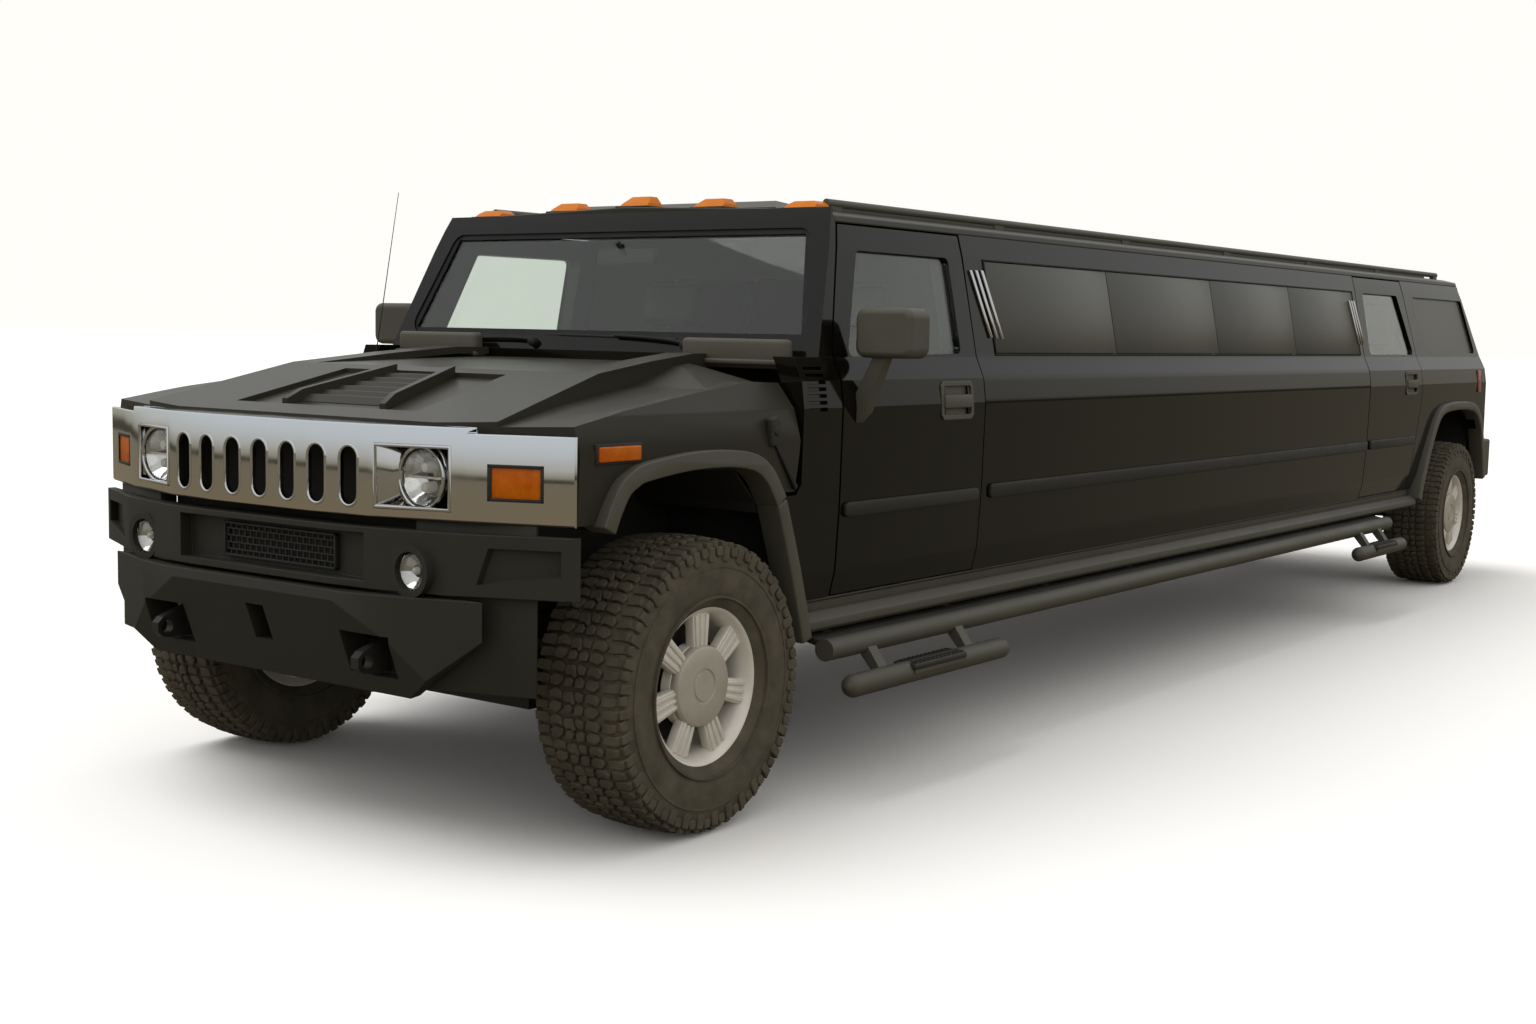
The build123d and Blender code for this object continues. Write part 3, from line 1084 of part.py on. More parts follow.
for window in saloon_windows():
    side_glass += pane(window)
export("fixed_side_glass", both(side_glass))
export("rear_body", both(quarter_panel()) + tail_panel())
export("liftgate", liftgate())
export("liftgate_glass", liftgate_glass())
export("roof_panel", roof_panel())
export("windscreen_frame", windscreen_frame())
export("windscreen", windscreen())
export("roof_rails", roof_rails())
export("hood", hood())
export("hood_flares", hood_flares())
export("front_structure", front_carrier() + front_liners())
export("sills", sills())
export("body_cladding", body_cladding())
export("grille_surround", grille_surround())
export("headlamps", headlamps())
export("amber_lamps", amber_lamps())
export("front_bumper", front_bumper())
export("rear_bumper", rear_bumper())
export("towing_points", tow_hooks() + hitch_receiver())
export("tail_lamps", tail_lamps())
export("side_steps", side_steps())
export("left_mirror", side_mirror())
export("right_mirror", right_of(side_mirror()))
export("front_seats", front_seats())
export("dashboard", dashboard())
export("steering_wheel", steering_wheel())
export("saloon_furniture", partition() + bar_cabinet())
export("saloon_seats", saloon_seats())
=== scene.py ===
"""Looks of a stretch limousine on a large off-road wagon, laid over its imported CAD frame.

Sizes are in millimetres, and a y is measured from the front axle, rearwards positive. Blender's own
units are metres, in the frame of the CAD model: x to the vehicle's left, z up from the ground.
"""

import json
import logging
import math
from collections.abc import Callable, Sequence
from dataclasses import dataclass
from enum import Enum

import bpy
from mathutils import Matrix, Vector

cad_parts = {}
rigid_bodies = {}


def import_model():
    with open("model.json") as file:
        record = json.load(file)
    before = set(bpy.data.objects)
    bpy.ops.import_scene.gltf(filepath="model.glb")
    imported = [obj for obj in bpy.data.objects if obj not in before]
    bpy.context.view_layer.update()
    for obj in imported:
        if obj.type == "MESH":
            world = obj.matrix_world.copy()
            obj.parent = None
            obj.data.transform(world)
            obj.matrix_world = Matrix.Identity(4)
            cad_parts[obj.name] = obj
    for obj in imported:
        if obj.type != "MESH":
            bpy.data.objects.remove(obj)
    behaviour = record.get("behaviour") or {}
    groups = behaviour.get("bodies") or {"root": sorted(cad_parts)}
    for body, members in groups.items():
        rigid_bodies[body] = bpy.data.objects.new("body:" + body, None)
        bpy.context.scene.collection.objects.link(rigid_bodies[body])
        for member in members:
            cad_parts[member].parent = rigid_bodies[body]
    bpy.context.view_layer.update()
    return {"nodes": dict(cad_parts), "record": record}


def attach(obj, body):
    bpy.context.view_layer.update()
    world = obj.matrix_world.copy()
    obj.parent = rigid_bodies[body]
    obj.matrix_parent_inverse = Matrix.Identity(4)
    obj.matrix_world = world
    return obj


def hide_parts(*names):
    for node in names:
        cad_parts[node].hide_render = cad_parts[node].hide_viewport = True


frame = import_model()
log = logging.getLogger("limousine")

FRONT_AXLE_Y = -3693.0
REAR_AXLE = 7309.0          # the rear axle's y
AXLE_Z = 430.0
WHEEL_X = 881.5
AXLE = (1.0, 0.0, 0.0)      # direction of an axle
Point = tuple[float, float, float]
Corner = tuple[float, float]
Thing = bpy.types.Object
Tree = bpy.types.NodeTree
Socket = bpy.types.NodeSocket


# ------------------------------------------------------------------ places
def spot(x: float, y: float, z: float) -> Vector:
    """Point in Blender's metres from millimetres, with y from the front axle."""
    return Vector((x, y + FRONT_AXLE_Y, z)) / 1000


class Across(Enum):
    """Axis that a flat outline looks along."""

    X = "x"
    Y = "y"
    Z = "z"


def lift(across: Across, a: float, b: float, level: float) -> Vector:
    """Puts an outline's corner in space.

    Args:
        across: the axis that the outline looks along.
        a: first coordinate: y for X, x for Y and Z.
        b: second coordinate: z for X and Y, y for Z.
        level: place along the axis.

    Returns:
        The point in metres.
    """
    if across is Across.X:
        return spot(level, a, b)
    return spot(a, level, b) if across is Across.Y else spot(a, b, level)


# ------------------------------------------------------------------ modelling by hand
def start_fresh() -> None:
    """Object mode, with nothing selected."""
    if bpy.context.object is not None and bpy.context.object.mode != "OBJECT":
        bpy.ops.object.mode_set(mode="OBJECT")
    bpy.ops.object.select_all(action="DESELECT")


def take(thing: Thing) -> Thing:
    """Makes one object the only selected and active one.

    Args:
        thing: the object.

    Returns:
        The same object.
    """
    start_fresh()
    thing.select_set(True)
    bpy.context.view_layer.objects.active = thing
    return thing


def settle(name: str) -> Thing:
    """Names the active object and moves its place, turn and size into its mesh.

    Args:
        name: the object's name.

    Returns:
        The object.
    """
    start_fresh()
    thing = take(bpy.context.view_layer.objects.active)
    bpy.ops.object.transform_apply(location=True, rotation=True, scale=True)
    thing.name = name
    return thing


def reshape(thing: Thing, *steps: Callable[[], object]) -> Thing:
    """Runs steps in edit mode on what is selected in an object's mesh.

    Args:
        thing: the object.
        *steps: what is done, in order.

    Returns:
        The same object.
    """
    take(thing)
    bpy.ops.object.mode_set(mode="EDIT")
    for step in steps:
        step()
    bpy.ops.object.mode_set(mode="OBJECT")
    return thing


def edit(thing: Thing, *steps: Callable[[], object]) -> Thing:
    """Runs steps in edit mode on the whole mesh of an object."""
    return reshape(thing, lambda: bpy.ops.mesh.select_all(action="SELECT"), *steps)


def outward() -> None:
    """Turns the selected faces outwards."""
    bpy.ops.mesh.normals_make_consistent(inside=False)


def modify(thing: Thing, kind: str, **settings: object) -> Thing:
    """Adds a modifier with its settings and applies it.

    Args:
        thing: the object.
        kind: the modifier's type.
        **settings: its settings by name.

    Returns:
        The same object.
    """
    take(thing)
    made = thing.modifiers.new(kind.title(), kind)
    for name, value in settings.items():
        setattr(made, name, value)
    bpy.ops.object.modifier_apply(modifier=made.name)
    return thing


def soften(thing: Thing, width: float, segments: int = 2, angle: float = 28.0) -> Thing:
    """Rounds the edges sharper than an angle and shades the rest smooth.

    Args:
        thing: the piece.
        width: width of the rounding in millimetres, or 0 for shading only.
        segments: flats across the rounding.
        angle: sharpness from which an edge is rounded, in degrees.

    Returns:
        The same piece.
    """
    if width > 0:
        modify(thing, "BEVEL", width=width / 1000, segments=segments, limit_method="ANGLE",
               angle_limit=math.radians(angle), harden_normals=False)
    take(thing)
    bpy.ops.object.shade_smooth_by_angle(angle=math.radians(angle + 6))
    return thing


def block(name: str, low: Point, high: Point, width: float = 3.0, segments: int = 2) -> Thing:
    """Rounded block between two corners.

    Args:
        name: the piece's name.
        low: the corner with the least coordinates.
        high: the corner with the greatest ones.
        width: rounding of its edges.
        segments: flats across the rounding.

    Returns:
        The block.
    """
    start_fresh()
    a, b = spot(*low), spot(*high)
    bpy.ops.mesh.primitive_cube_add(size=1, location=(a + b) / 2, scale=b - a)
    return soften(settle(name), width, segments)


def bar(name: str, start: Point, end: Point, radius: float, sides: int = 20, tip: float | None = None,
        width: float = 2.0) -> Thing:
    """Round bar between two points.

    Args:
        name: the piece's name.
        start: middle of its first end.
        end: middle of its other end.
        radius: its radius in millimetres.
        sides: flats round it.
        tip: radius of the other end, where the bar tapers.
        width: rounding of its ends.

    Returns:
        The bar.
    """
    start_fresh()
    a, b = spot(*start), spot(*end)
    turn = (b - a).to_track_quat("Z", "Y").to_euler()
    bpy.ops.mesh.primitive_cone_add(
        vertices=sides, radius1=radius / 1000, radius2=(radius if tip is None else tip) / 1000,
        depth=(b - a).length, location=(a + b) / 2, rotation=turn)
    return soften(settle(name), width)


def chain(name: str, corners: Sequence[Vector]) -> Thing:
    """Draws a line from point to point by extruding one vertex; the object stays in edit mode.

    Args:
        name: the object's name.
        corners: the points, in metres.

    Returns:
        The object, with the whole line selected.
    """
    start_fresh()
    bpy.ops.mesh.primitive_plane_add(size=0.01, location=(0, 0, 0))
    thing = bpy.context.object
    thing.name = name
    bpy.ops.object.mode_set(mode="EDIT")
    bpy.ops.mesh.select_mode(type="VERT")
    bpy.ops.mesh.merge(type="CENTER")
    bpy.ops.transform.translate(value=corners[0])
    for before, after in zip(corners, corners[1:]):
        bpy.ops.mesh.extrude_region_move(TRANSFORM_OT_translate={"value": after - before})
    bpy.ops.mesh.select_all(action="SELECT")
    return thing


def plate(name: str, across: Across, corners: Sequence[Corner], low: float, high: float, width: float = 2.0,
          segments: int = 2, slant: Callable[[float, float], float] | None = None) -> Thing:
    """Outline that is filled and extruded along an axis.

    Args:
        name: the piece's name.
        across: the axis that the outline looks along.
        corners: the outline, in millimetres.
        low: level at which it is drawn.
        high: level to which it is extruded.
        width: rounding of its edges.
        segments: flats across the rounding.
        slant: adds to both levels at a corner, so that the plate follows a sloping face.

    Returns:
        The rounded plate.
    """
    lean = slant or (lambda a, b: 0.0)
    points = [lift(across, a, b, low + lean(a, b)) for a, b in corners]
    thing = chain(name, [*points, points[0]])
    bpy.ops.mesh.remove_doubles(threshold=1e-6)
    bpy.ops.mesh.edge_face_add()
    along = lift(across, 0, 0, high) - lift(across, 0, 0, low)
    bpy.ops.mesh.extrude_region_move(TRANSFORM_OT_translate={"value": along})
    bpy.ops.mesh.select_all(action="SELECT")
    outward()
    bpy.ops.object.mode_set(mode="OBJECT")
    return soften(thing, width, segments)


def turned(name: str, profile: Sequence[Corner], centre: Point, axis: Point, steps: int = 48,
           closed: bool = False, angle: float = 34.0) -> Thing:
    """Profile spun round an axis.

    Args:
        name: the piece's name.
        profile: distance along the axis and radius of each corner, in millimetres.
        centre: point on the axis that the distances start from.
        axis: direction of the axis.
        steps: flats round the turn.
        closed: whether the profile's last corner joins its first.
        angle: edges flatter than this are shaded smooth, in degrees.

    Returns:
        The turned piece.
    """
    along = Vector(axis).normalized()
    out = along.orthogonal().normalized()
    origin = spot(*centre)
    points = [origin + along * (a / 1000) + out * (r / 1000) for a, r in profile]
    thing = chain(name, [*points, points[0]] if closed else points)
    bpy.ops.mesh.remove_doubles(threshold=1e-6)
    bpy.ops.mesh.spin(steps=steps, angle=math.tau, center=origin, axis=along)
    bpy.ops.mesh.select_all(action="SELECT")
    bpy.ops.mesh.remove_doubles(threshold=2e-5)
    outward()
    bpy.ops.object.mode_set(mode="OBJECT")
    take(thing)
    bpy.ops.object.shade_smooth_by_angle(angle=math.radians(angle))
    return thing


def wire(name: str, points: Sequence[Point], radius: float, ends: float = 1.0, sides: int = 3,
         smooth: bool = True) -> Thing:
    """Round wire or tube through points, made a mesh.

    Args:
        name: the piece's name.
        points: the line that it follows.
        radius: its radius in millimetres.
        ends: radius of its last point, as a share of the radius.
        sides: fineness of its section.
        smooth: whether it bends smoothly, or runs straight from point to point.

    Returns:
        The tube.
    """
    start_fresh()
    line = bpy.data.curves.new(name, "CURVE")
    line.dimensions = "3D"
    line.bevel_depth = radius / 1000
    line.bevel_resolution = sides
    line.use_fill_caps = True
    spline = line.splines.new("NURBS" if smooth else "POLY")
    spline.points.add(len(points) - 1)
    for place, (knot, point) in enumerate(zip(spline.points, points)):
        knot.co = (*spot(*point), 1)
        knot.radius = 1 + (ends - 1) * place / (len(points) - 1)
    if smooth:
        spline.order_u = 3
        spline.use_endpoint_u = True
        spline.resolution_u = 8
    thing = bpy.data.objects.new(name, line)
    bpy.context.scene.collection.objects.link(thing)
    take(thing)
    bpy.ops.object.convert(target="MESH")
    thing = bpy.context.object
    thing.name = name
    return soften(thing, 0, angle=40)


def copied(thing: Thing, name: str, move: Matrix | None = None) -> Thing:
    """Copy of a piece with its own mesh, moved in its mesh.

    Args:
        thing: the piece.
        name: the copy's name.
        move: the move, if there is one.

    Returns:
        The copy.
    """
    twin = thing.copy()
    twin.data = thing.data.copy()
    twin.name = name
    bpy.context.scene.collection.objects.link(twin)
    if move is not None:
        twin.data.transform(move)
        if move.determinant() < 0:
            twin.data.flip_normals()
    return twin


def mirrored(thing: Thing, name: str) -> Thing:
    """The same piece on the vehicle's other side."""
    return copied(thing, name, Matrix.Diagonal((-1, 1, 1, 1)))


def joined(name: str, parts: Sequence[Thing]) -> Thing:
    """Several meshes as one piece.

    Args:
        name: the piece's name.
        parts: the meshes, which the piece takes in.

    Returns:
        The piece.
    """
    start_fresh()
    for part in parts:
        part.select_set(True)
    bpy.context.view_layer.objects.active = parts[0]
    if len(parts) > 1:
        bpy.ops.object.join()
    parts[0].name = name
    return parts[0]


def placed(thing: Thing, body: str, slot: str, finish: "Finish", *stands_for: str) -> Thing:
    """Gives a piece its body and finish, and hides the CAD nodes it stands for.

    Args:
        thing: the piece.
        body: the body it rides on.
        slot: its material slot; not used.
        finish: its surface.
        *stands_for: the CAD nodes that it replaces.

    Returns:
        The same piece.
    """
    thing.data.materials.clear()
    thing.data.materials.append(finish.material())
    for face in thing.data.polygons:
        face.material_index = 0
    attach(thing, body)
    if stands_for:
        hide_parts(*stands_for)
    return thing


def rounded_node(node: str, width: float, segments: int = 2, angle: float = 28.0) -> Thing:
    """Merged copy of a CAD node with its edges rounded.

    Args:
        node: the CAD node.
        width: width of the rounding in millimetres.
        segments: flats across the rounding.
        angle: sharpness from which an edge is rounded, in degrees.

    Returns:
        The copy, which isn't placed yet.
    """
    thing = copied(frame["nodes"][node], node + "_shell")
    thing.parent = None
    for key in [k for k in thing.keys() if k.startswith("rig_")]:
        del thing[key]
    take(thing)
    bpy.ops.mesh.customdata_custom_splitnormals_clear()
    edit(thing, lambda: bpy.ops.mesh.remove_doubles(threshold=2e-5),
         lambda: bpy.ops.mesh.dissolve_limited(angle_limit=math.radians(0.6)), outward)
    return soften(thing, width, segments, angle)


def both(thing: Thing, body: str, slot: str, finish: "Finish", *stands_for: str) -> None:
    """Places a left piece and its twin on the right, each under its side's name.

    Args:
        thing: the left piece.
        body: the body they ride on; a door's without its side.
        slot: their material slot.
        finish: their surface.
        *stands_for: the CAD nodes that the left piece replaces.
    """
    name = thing.name
    twin = mirrored(thing, f"right_{name}")
    thing.name = f"left_{name}"
    left, right = (f"{side}_{body}" if body.endswith("door") else body for side in ("left", "right"))
    placed(twin, right, slot, finish)
    placed(thing, left, slot, finish, *stands_for)


def shade(thing: Thing) -> Thing:
    """Keeps large flats flat and puts the turn of the light into the radii.

    Args:
        thing: the piece.

    Returns:
        The same piece.
    """
    take(thing)
    bpy.ops.object.shade_smooth_by_angle(angle=math.radians(35))
    return modify(thing, "WEIGHTED_NORMAL", keep_sharp=True, weight=80)


# ------------------------------------------------------------------ finishes
def linear(colour: str) -> tuple[float, float, float, float]:
    """Turns an sRGB colour to a linear one.

    Args:
        colour: sRGB hex, such as #C8640A.

    Returns:
        Linear red, green, blue and alpha.
    """
    parts = [int(colour[i:i + 2], 16) / 255 for i in (1, 3, 5)]
    red, green, blue = (p / 12.92 if p <= 0.04045 else ((p + 0.055) / 1.055) ** 2.4 for p in parts)
    return (red, green, blue, 1.0)


def add_node(tree: Tree, kind: str, settings: dict[str, object] | None = None,
             links: dict[str, Socket] | None = None) -> bpy.types.Node:
    """Adds a node with its settings and links.

    Args:
        tree: the node tree.
        kind: the node's type.
        settings: values by input name, or by the node's own attribute name.
        links: sockets by the input that each one feeds.

    Returns:
        The node.
    """
    node = tree.nodes.new(kind)
    for name, value in (settings or {}).items():
        if name in node.inputs:
            node.inputs[name].default_value = value
        else:
            setattr(node, name, value)
    for name, socket in (links or {}).items():
        tree.links.new(socket, node.inputs[name])
    return node


@dataclass(frozen=True)
class Finish:
    """A real surface and how it is drawn.

    The pattern is a noise on Object coordinates: a wide one for colour and gloss, a fine one for the skin.
    A grain finer than a few millimetres is drawn a few millimetres across, so that it shows.
    """

    name: str
    colour: str                  # sRGB hex
    second: str = ""             # colour of dust, wear or grain; the first one if empty
    share: float = 0.35          # how far the second colour comes through
    patch: float = 180.0         # millimetres across a patch of it
    metallic: float = 0.0
    roughness: float = 0.5
    uneven: float = 0.06         # how far the roughness wanders
    grain: float = 3.0           # millimetres across the skin's grain
    relief: float = 0.15         # millimetres of its height
    coat: float = 0.0
    transmission: float = 0.0
    ior: float = 1.5
    sheen: float = 0.0

    def material(self) -> bpy.types.Material:
        """The material, made once."""
        return bpy.data.materials.get(self.name) or self.make()

    def make(self) -> bpy.types.Material:
        """Builds the node tree of the material.

        Returns:
            The material.
        """
        made = bpy.data.materials.new(self.name)
        made.use_nodes = True
        tree = made.node_tree
        tree.nodes.clear()
        place = add_node(tree, "ShaderNodeTexCoord").outputs["Object"]
        shader = add_node(tree, "ShaderNodeBsdfPrincipled", {
            "Metallic": self.metallic, "IOR": self.ior, "Coat Weight": self.coat, "Coat Roughness": 0.03,
            "Transmission Weight": self.transmission, "Sheen Weight": self.sheen})
        tree.links.new(self.tint(tree, place), shader.inputs["Base Color"])
        tree.links.new(self.gloss(tree, place), shader.inputs["Roughness"])
        if self.relief > 0:
            tree.links.new(self.skin(tree, place), shader.inputs["Normal"])
        add_node(tree, "ShaderNodeOutputMaterial", links={"Surface": shader.outputs["BSDF"]})
        return made

    def patches(self, tree: Tree, place: Socket) -> Socket:
        """Wide noise from 0 to 1."""
        return add_node(tree, "ShaderNodeTexNoise", {"Scale": 1000 / self.patch, "Detail": 5.0, "Roughness": 0.6},
                        {"Vector": place}).outputs["Fac"]

    def tint(self, tree: Tree, place: Socket) -> Socket:
        """Colour that wanders between the two.

        Args:
            tree: the node tree.
            place: the coordinates.

        Returns:
            The socket that carries it.
        """
        amount = add_node(tree, "ShaderNodeMapRange", {"From Min": 0.35, "From Max": 0.75, "To Max": self.share},
                          {"Value": self.patches(tree, place)}).outputs["Result"]
        mix = add_node(tree, "ShaderNodeMix", {"data_type": "RGBA"}, {"Factor": amount})
        colours = [socket for socket in mix.inputs if socket.type == "RGBA"]
        colours[0].default_value = linear(self.colour)
        colours[1].default_value = linear(self.second or self.colour)
        return next(socket for socket in mix.outputs if socket.type == "RGBA")

    def gloss(self, tree: Tree, place: Socket) -> Socket:
        """Roughness that wanders round its value.

        Args:
            tree: the node tree.
            place: the coordinates.

        Returns:
            The socket that carries it.
        """
        low, high = max(0.0, self.roughness - self.uneven), min(1.0, self.roughness + self.uneven)
        settings = {"From Min": 0.3, "From Max": 0.7, "To Min": low, "To Max": high}
        return add_node(tree, "ShaderNodeMapRange", settings, {"Value": self.patches(tree, place)}).outputs["Result"]

    def height(self, tree: Tree, place: Socket) -> Socket:
        """Height of the skin, from 0 to 1."""
        return add_node(tree, "ShaderNodeTexNoise", {"Scale": 1000 / self.grain, "Detail": 2.0},
                        {"Vector": place}).outputs["Fac"]

    def skin(self, tree: Tree, place: Socket) -> Socket:
        """Normal of the skin's relief."""
        return add_node(tree, "ShaderNodeBump", {"Distance": self.relief / 1000, "Strength": 1.0},
                        {"Height": self.height(tree, place)}).outputs["Normal"]


class Direction(Enum):
    """Axis that ribs or rings run across."""

    X = "X"
    Y = "Y"
    Z = "Z"


@dataclass(frozen=True)
class RibbedFinish(Finish):
    """Moulded lens or plate with fine parallel ribs."""

    run: Direction = Direction.X

    def height(self, tree: Tree, place: Socket) -> Socket:
        """Ribs a grain apart."""
        return add_node(tree, "ShaderNodeTexWave", {
            "wave_type": "BANDS", "bands_direction": self.run.value, "Scale": 1000 / self.grain / 3.2,
            "Distortion": 0.0}, {"Vector": place}).outputs["Fac"]


@dataclass(frozen=True)
class HideFinish(Finish):
    """Upholstery leather with a pebbled grain."""

    def height(self, tree: Tree, place: Socket) -> Socket:
        """Pebbles a grain across."""
        return add_node(tree, "ShaderNodeTexVoronoi", {"feature": "SMOOTH_F1", "Scale": 1000 / self.grain},
                        {"Vector": place}).outputs["Distance"]


@dataclass(frozen=True)
class PaintedReflectionChrome(Finish):
    """Chromium plate with a painted reflection in its colour: a cool sky tone above, a warm brown ground tone lower
    down.
    """

    # levels: height in millimetres and colour of the painted reflection, warm below and cool above
    levels: tuple[tuple[float, str], ...] = ()   # height in millimetres, colour
    crown_z: float = 1015.0      # height at which the pressed face stands plumb
    crown: float = 0.75          # how fast it turns away above and below, per metre

    def tint(self, tree: Tree, place: Socket) -> Socket:
        """Colour by height, a painted reflection: a warm ground tone low, a cool sky tone high.

        Args:
            tree: the node tree.
            place: the coordinates.

        Returns:
            The socket that carries it.
        """
        z = add_node(tree, "ShaderNodeSeparateXYZ", links={"Vector": place}).outputs["Z"]
        low, high = self.levels[0][0], self.levels[-1][0]
        share = add_node(tree, "ShaderNodeMapRange", {"From Min": low / 1000, "From Max": high / 1000}, {"Value": z})
        ramp = add_node(tree, "ShaderNodeValToRGB", links={"Fac": share.outputs["Result"]})
        stops = ramp.color_ramp.elements
        stops[0].color, stops[1].color = linear(self.levels[0][1]), linear(self.levels[-1][1])
        for height, colour in self.levels[1:-1]:
            stops.new((height - low) / (high - low)).color = linear(colour)
        return ramp.outputs["Color"]

    def skin(self, tree: Tree, place: Socket) -> Socket:
        """Crown of the pressing: its upper half looks up a little, its lower half down.

        Args:
            tree: the node tree.
            place: the coordinates.

        Returns:
            The socket that carries it.
        """
        z = add_node(tree, "ShaderNodeSeparateXYZ", links={"Vector": place}).outputs["Z"]
        above = add_node(tree, "ShaderNodeMath", {"operation": "SUBTRACT"})
        tree.links.new(z, above.inputs[0])
        above.inputs[1].default_value = self.crown_z / 1000
        square = add_node(tree, "ShaderNodeMath", {"operation": "MULTIPLY"})
        tree.links.new(above.outputs[0], square.inputs[0])
        tree.links.new(above.outputs[0], square.inputs[1])
        fall = add_node(tree, "ShaderNodeMath", {"operation": "MULTIPLY"}, {"Value": square.outputs[0]})
        fall.inputs[1].default_value = -self.crown
        return add_node(tree, "ShaderNodeBump", {"Distance": 1.0, "Strength": 1.0},
                        {"Height": fall.outputs[0]}).outputs["Normal"]


# Two-layer black enamel: near-black pigment under a clear coat, so it mirrors the studio and shows only a
# faint orange peel and a breath of road dust.
PAINT = Finish("black_enamel_clearcoat", "#0B0A07", "#14120C", share=0.5, patch=900, roughness=0.09, uneven=0.02,
               grain=16, relief=0.012, ior=1.36)
# The same enamel made much lighter for the hood and roof, which face up: painted sky light on those panels, and
# rougher, so their reflections blur.
TOP_LIT_PAINT = Finish("black_enamel_sunned", "#2F2D26", "#38362D", share=0.5, patch=900, roughness=0.34, uneven=0.02,
                relief=0.0, ior=1.27)
# Thermoplastic olefin trim, moulded with a fine leather-like grain: charcoal, wide soft highlights.
SATIN = Finish("moulded_tpo_plastic", "#454239", "#524F44", share=0.6, patch=260, roughness=0.52, uneven=0.08,
               relief=0.10)
# The same plastic, unpainted and coarser, on the bumpers: blacker and nearly matt.
BUMPER_PLASTIC = Finish("textured_tpo_plastic", "#1D1C15", "#29271E", share=0.6, patch=200, roughness=0.62,
                        uneven=0.08, grain=3.5, relief=0.16)
# Chromium over moulded plastic: a mirror with faint polishing haze.
CHROME = Finish("chromium_plate", "#CFD0D2", "#B9B5AE", share=0.6, patch=160, metallic=1.0, roughness=0.07,
                uneven=0.05, grain=6, relief=0.004)
# Carbon-black rubber compound with road dust in the hollows: dull, a little brown.
RUBBER = Finish("carbon_black_rubber", "#433E32", "#625B49", share=0.8, patch=70, roughness=0.84, uneven=0.08,
                grain=4.0, relief=0.25)
# Cast aluminium painted silver: soft grey shine with a fine metal flake.
ALLOY = Finish("silver_painted_cast_aluminium", "#DDD8CD", "#C4BEB2", share=0.5, patch=60, metallic=0.15,
               roughness=0.36, uneven=0.07, grain=2.5, relief=0.05, coat=0.3)
# Aluminium, brushed and lacquered, on the wheel caps: greyer and softer than the painted rims.
CAP = Finish("lacquered_aluminium", "#BBB5A8", "#A29B8D", share=0.5, patch=60, metallic=0.3, roughness=0.34,
             uneven=0.05, grain=2.0, relief=0.03)
# Sand-cast iron, oiled and dusty: dark and coarse.
IRON = Finish("sand_cast_iron", "#2E2A27", "#4A3B30", share=0.5, patch=60, metallic=0.5, roughness=0.7, uneven=0.1,
              grain=5, relief=0.5)
# Steel pressings in dipped black chassis paint: half-gloss, dusty.
STEEL = Finish("dipped_chassis_paint", "#191817", "#2D2823", share=0.7, metallic=0.1, uneven=0.1, grain=7,
               relief=0.2)
# Cast aluminium of the engine and gearbox: grey, matt, sandy.
ENGINE = Finish("sand_cast_aluminium", "#6B6965", "#3C3833", share=0.7, patch=90, metallic=0.8, roughness=0.55,
                uneven=0.1, grain=4, relief=0.4)
# Sheet steel in grey primer and stone-chip coat: pebbled and dull.
SHEET = Finish("stone_chip_coated_sheet", "#1E1D1C", "#2A2724", share=0.6, patch=200, roughness=0.75, uneven=0.08,
               grain=9, relief=0.5)
# Privacy glass, dyed in the melt, under a film of dust: dark grey, with blurred reflections.
DARK_GLASS = Finish("privacy_glass", "#434239", share=0.0, roughness=0.3, uneven=0.0, relief=0.0, transmission=0.35)
# Soda-lime glass with a light green solar tint: clear, it greens what lies behind.
GREEN_GLASS = Finish("green_solar_glass", "#E3EAE4", share=0.0, roughness=0.01, uneven=0.0, relief=0.0,
                     transmission=1.0, ior=1.45)
# Hard-coated polycarbonate of the lamps' lenses: clear and sharp, it lets the bowl shine through.
CLEAR = Finish("clear_polycarbonate", "#F4F5F4", share=0.0, roughness=0.03, uneven=0.0, grain=30, relief=0.02,
               transmission=1.0)
# Frosted quartz of the bulbs: milky, half-gloss.
MILK = Finish("frosted_quartz", "#E9E6DD", share=0.0, roughness=0.3, uneven=0.0, relief=0.02)
# Moulded acrylic lenses with optical ribs, which break the light up: a deep, even orange.
AMBER = RibbedFinish("amber_acrylic_ribbed", "#B25200", "#D27608", share=0.6, patch=40, roughness=0.3, uneven=0.04,
                     grain=9.0, relief=0.6, ior=1.28)
# The roof lamps' lenses: the same acrylic, smooth outside and paler.
AMBER_DOME = Finish("amber_acrylic_smooth", "#BE6600", "#D27C00", share=0.5, patch=30, roughness=0.36, uneven=0.04,
                    grain=6.0, relief=0.05, ior=1.22)
# The tail lamps' lenses: dark red, glossier, with ribs that lie level.
RED = RibbedFinish("red_acrylic_ribbed", "#7C100D", "#A01C14", share=0.5, patch=40, roughness=0.16, uneven=0.04,
                   grain=9.0, relief=0.8, coat=0.4, run=Direction.Z)
# Injection-moulded interior plastic, soft black.
TRIM = Finish("moulded_abs_trim", "#1A1A1A", "#232221", share=0.5, patch=150, roughness=0.58, grain=2.5,
              relief=0.1)
# Corrected-grain upholstery hide: pebbled, half-gloss on the crowns.
HIDE = HideFinish("upholstery_hide", "#1B1917", "#2A2622", share=0.5, patch=120, roughness=0.46, uneven=0.08,
                  grain=5.0, relief=0.5, sheen=0.1)
# Tufted nylon carpet: dark, no highlights.
CARPET = Finish("tufted_nylon_carpet", "#191817", "#2B2926", share=0.8, patch=30, roughness=0.95, uneven=0.03,
                grain=6, relief=1.8, sheen=0.2)
# EPDM window seal and wiper rubber: deep matt black.
SEAL = Finish("epdm_seal_rubber", "#0E0E0E", "#171615", share=0.5, patch=90, roughness=0.7, relief=0.1)
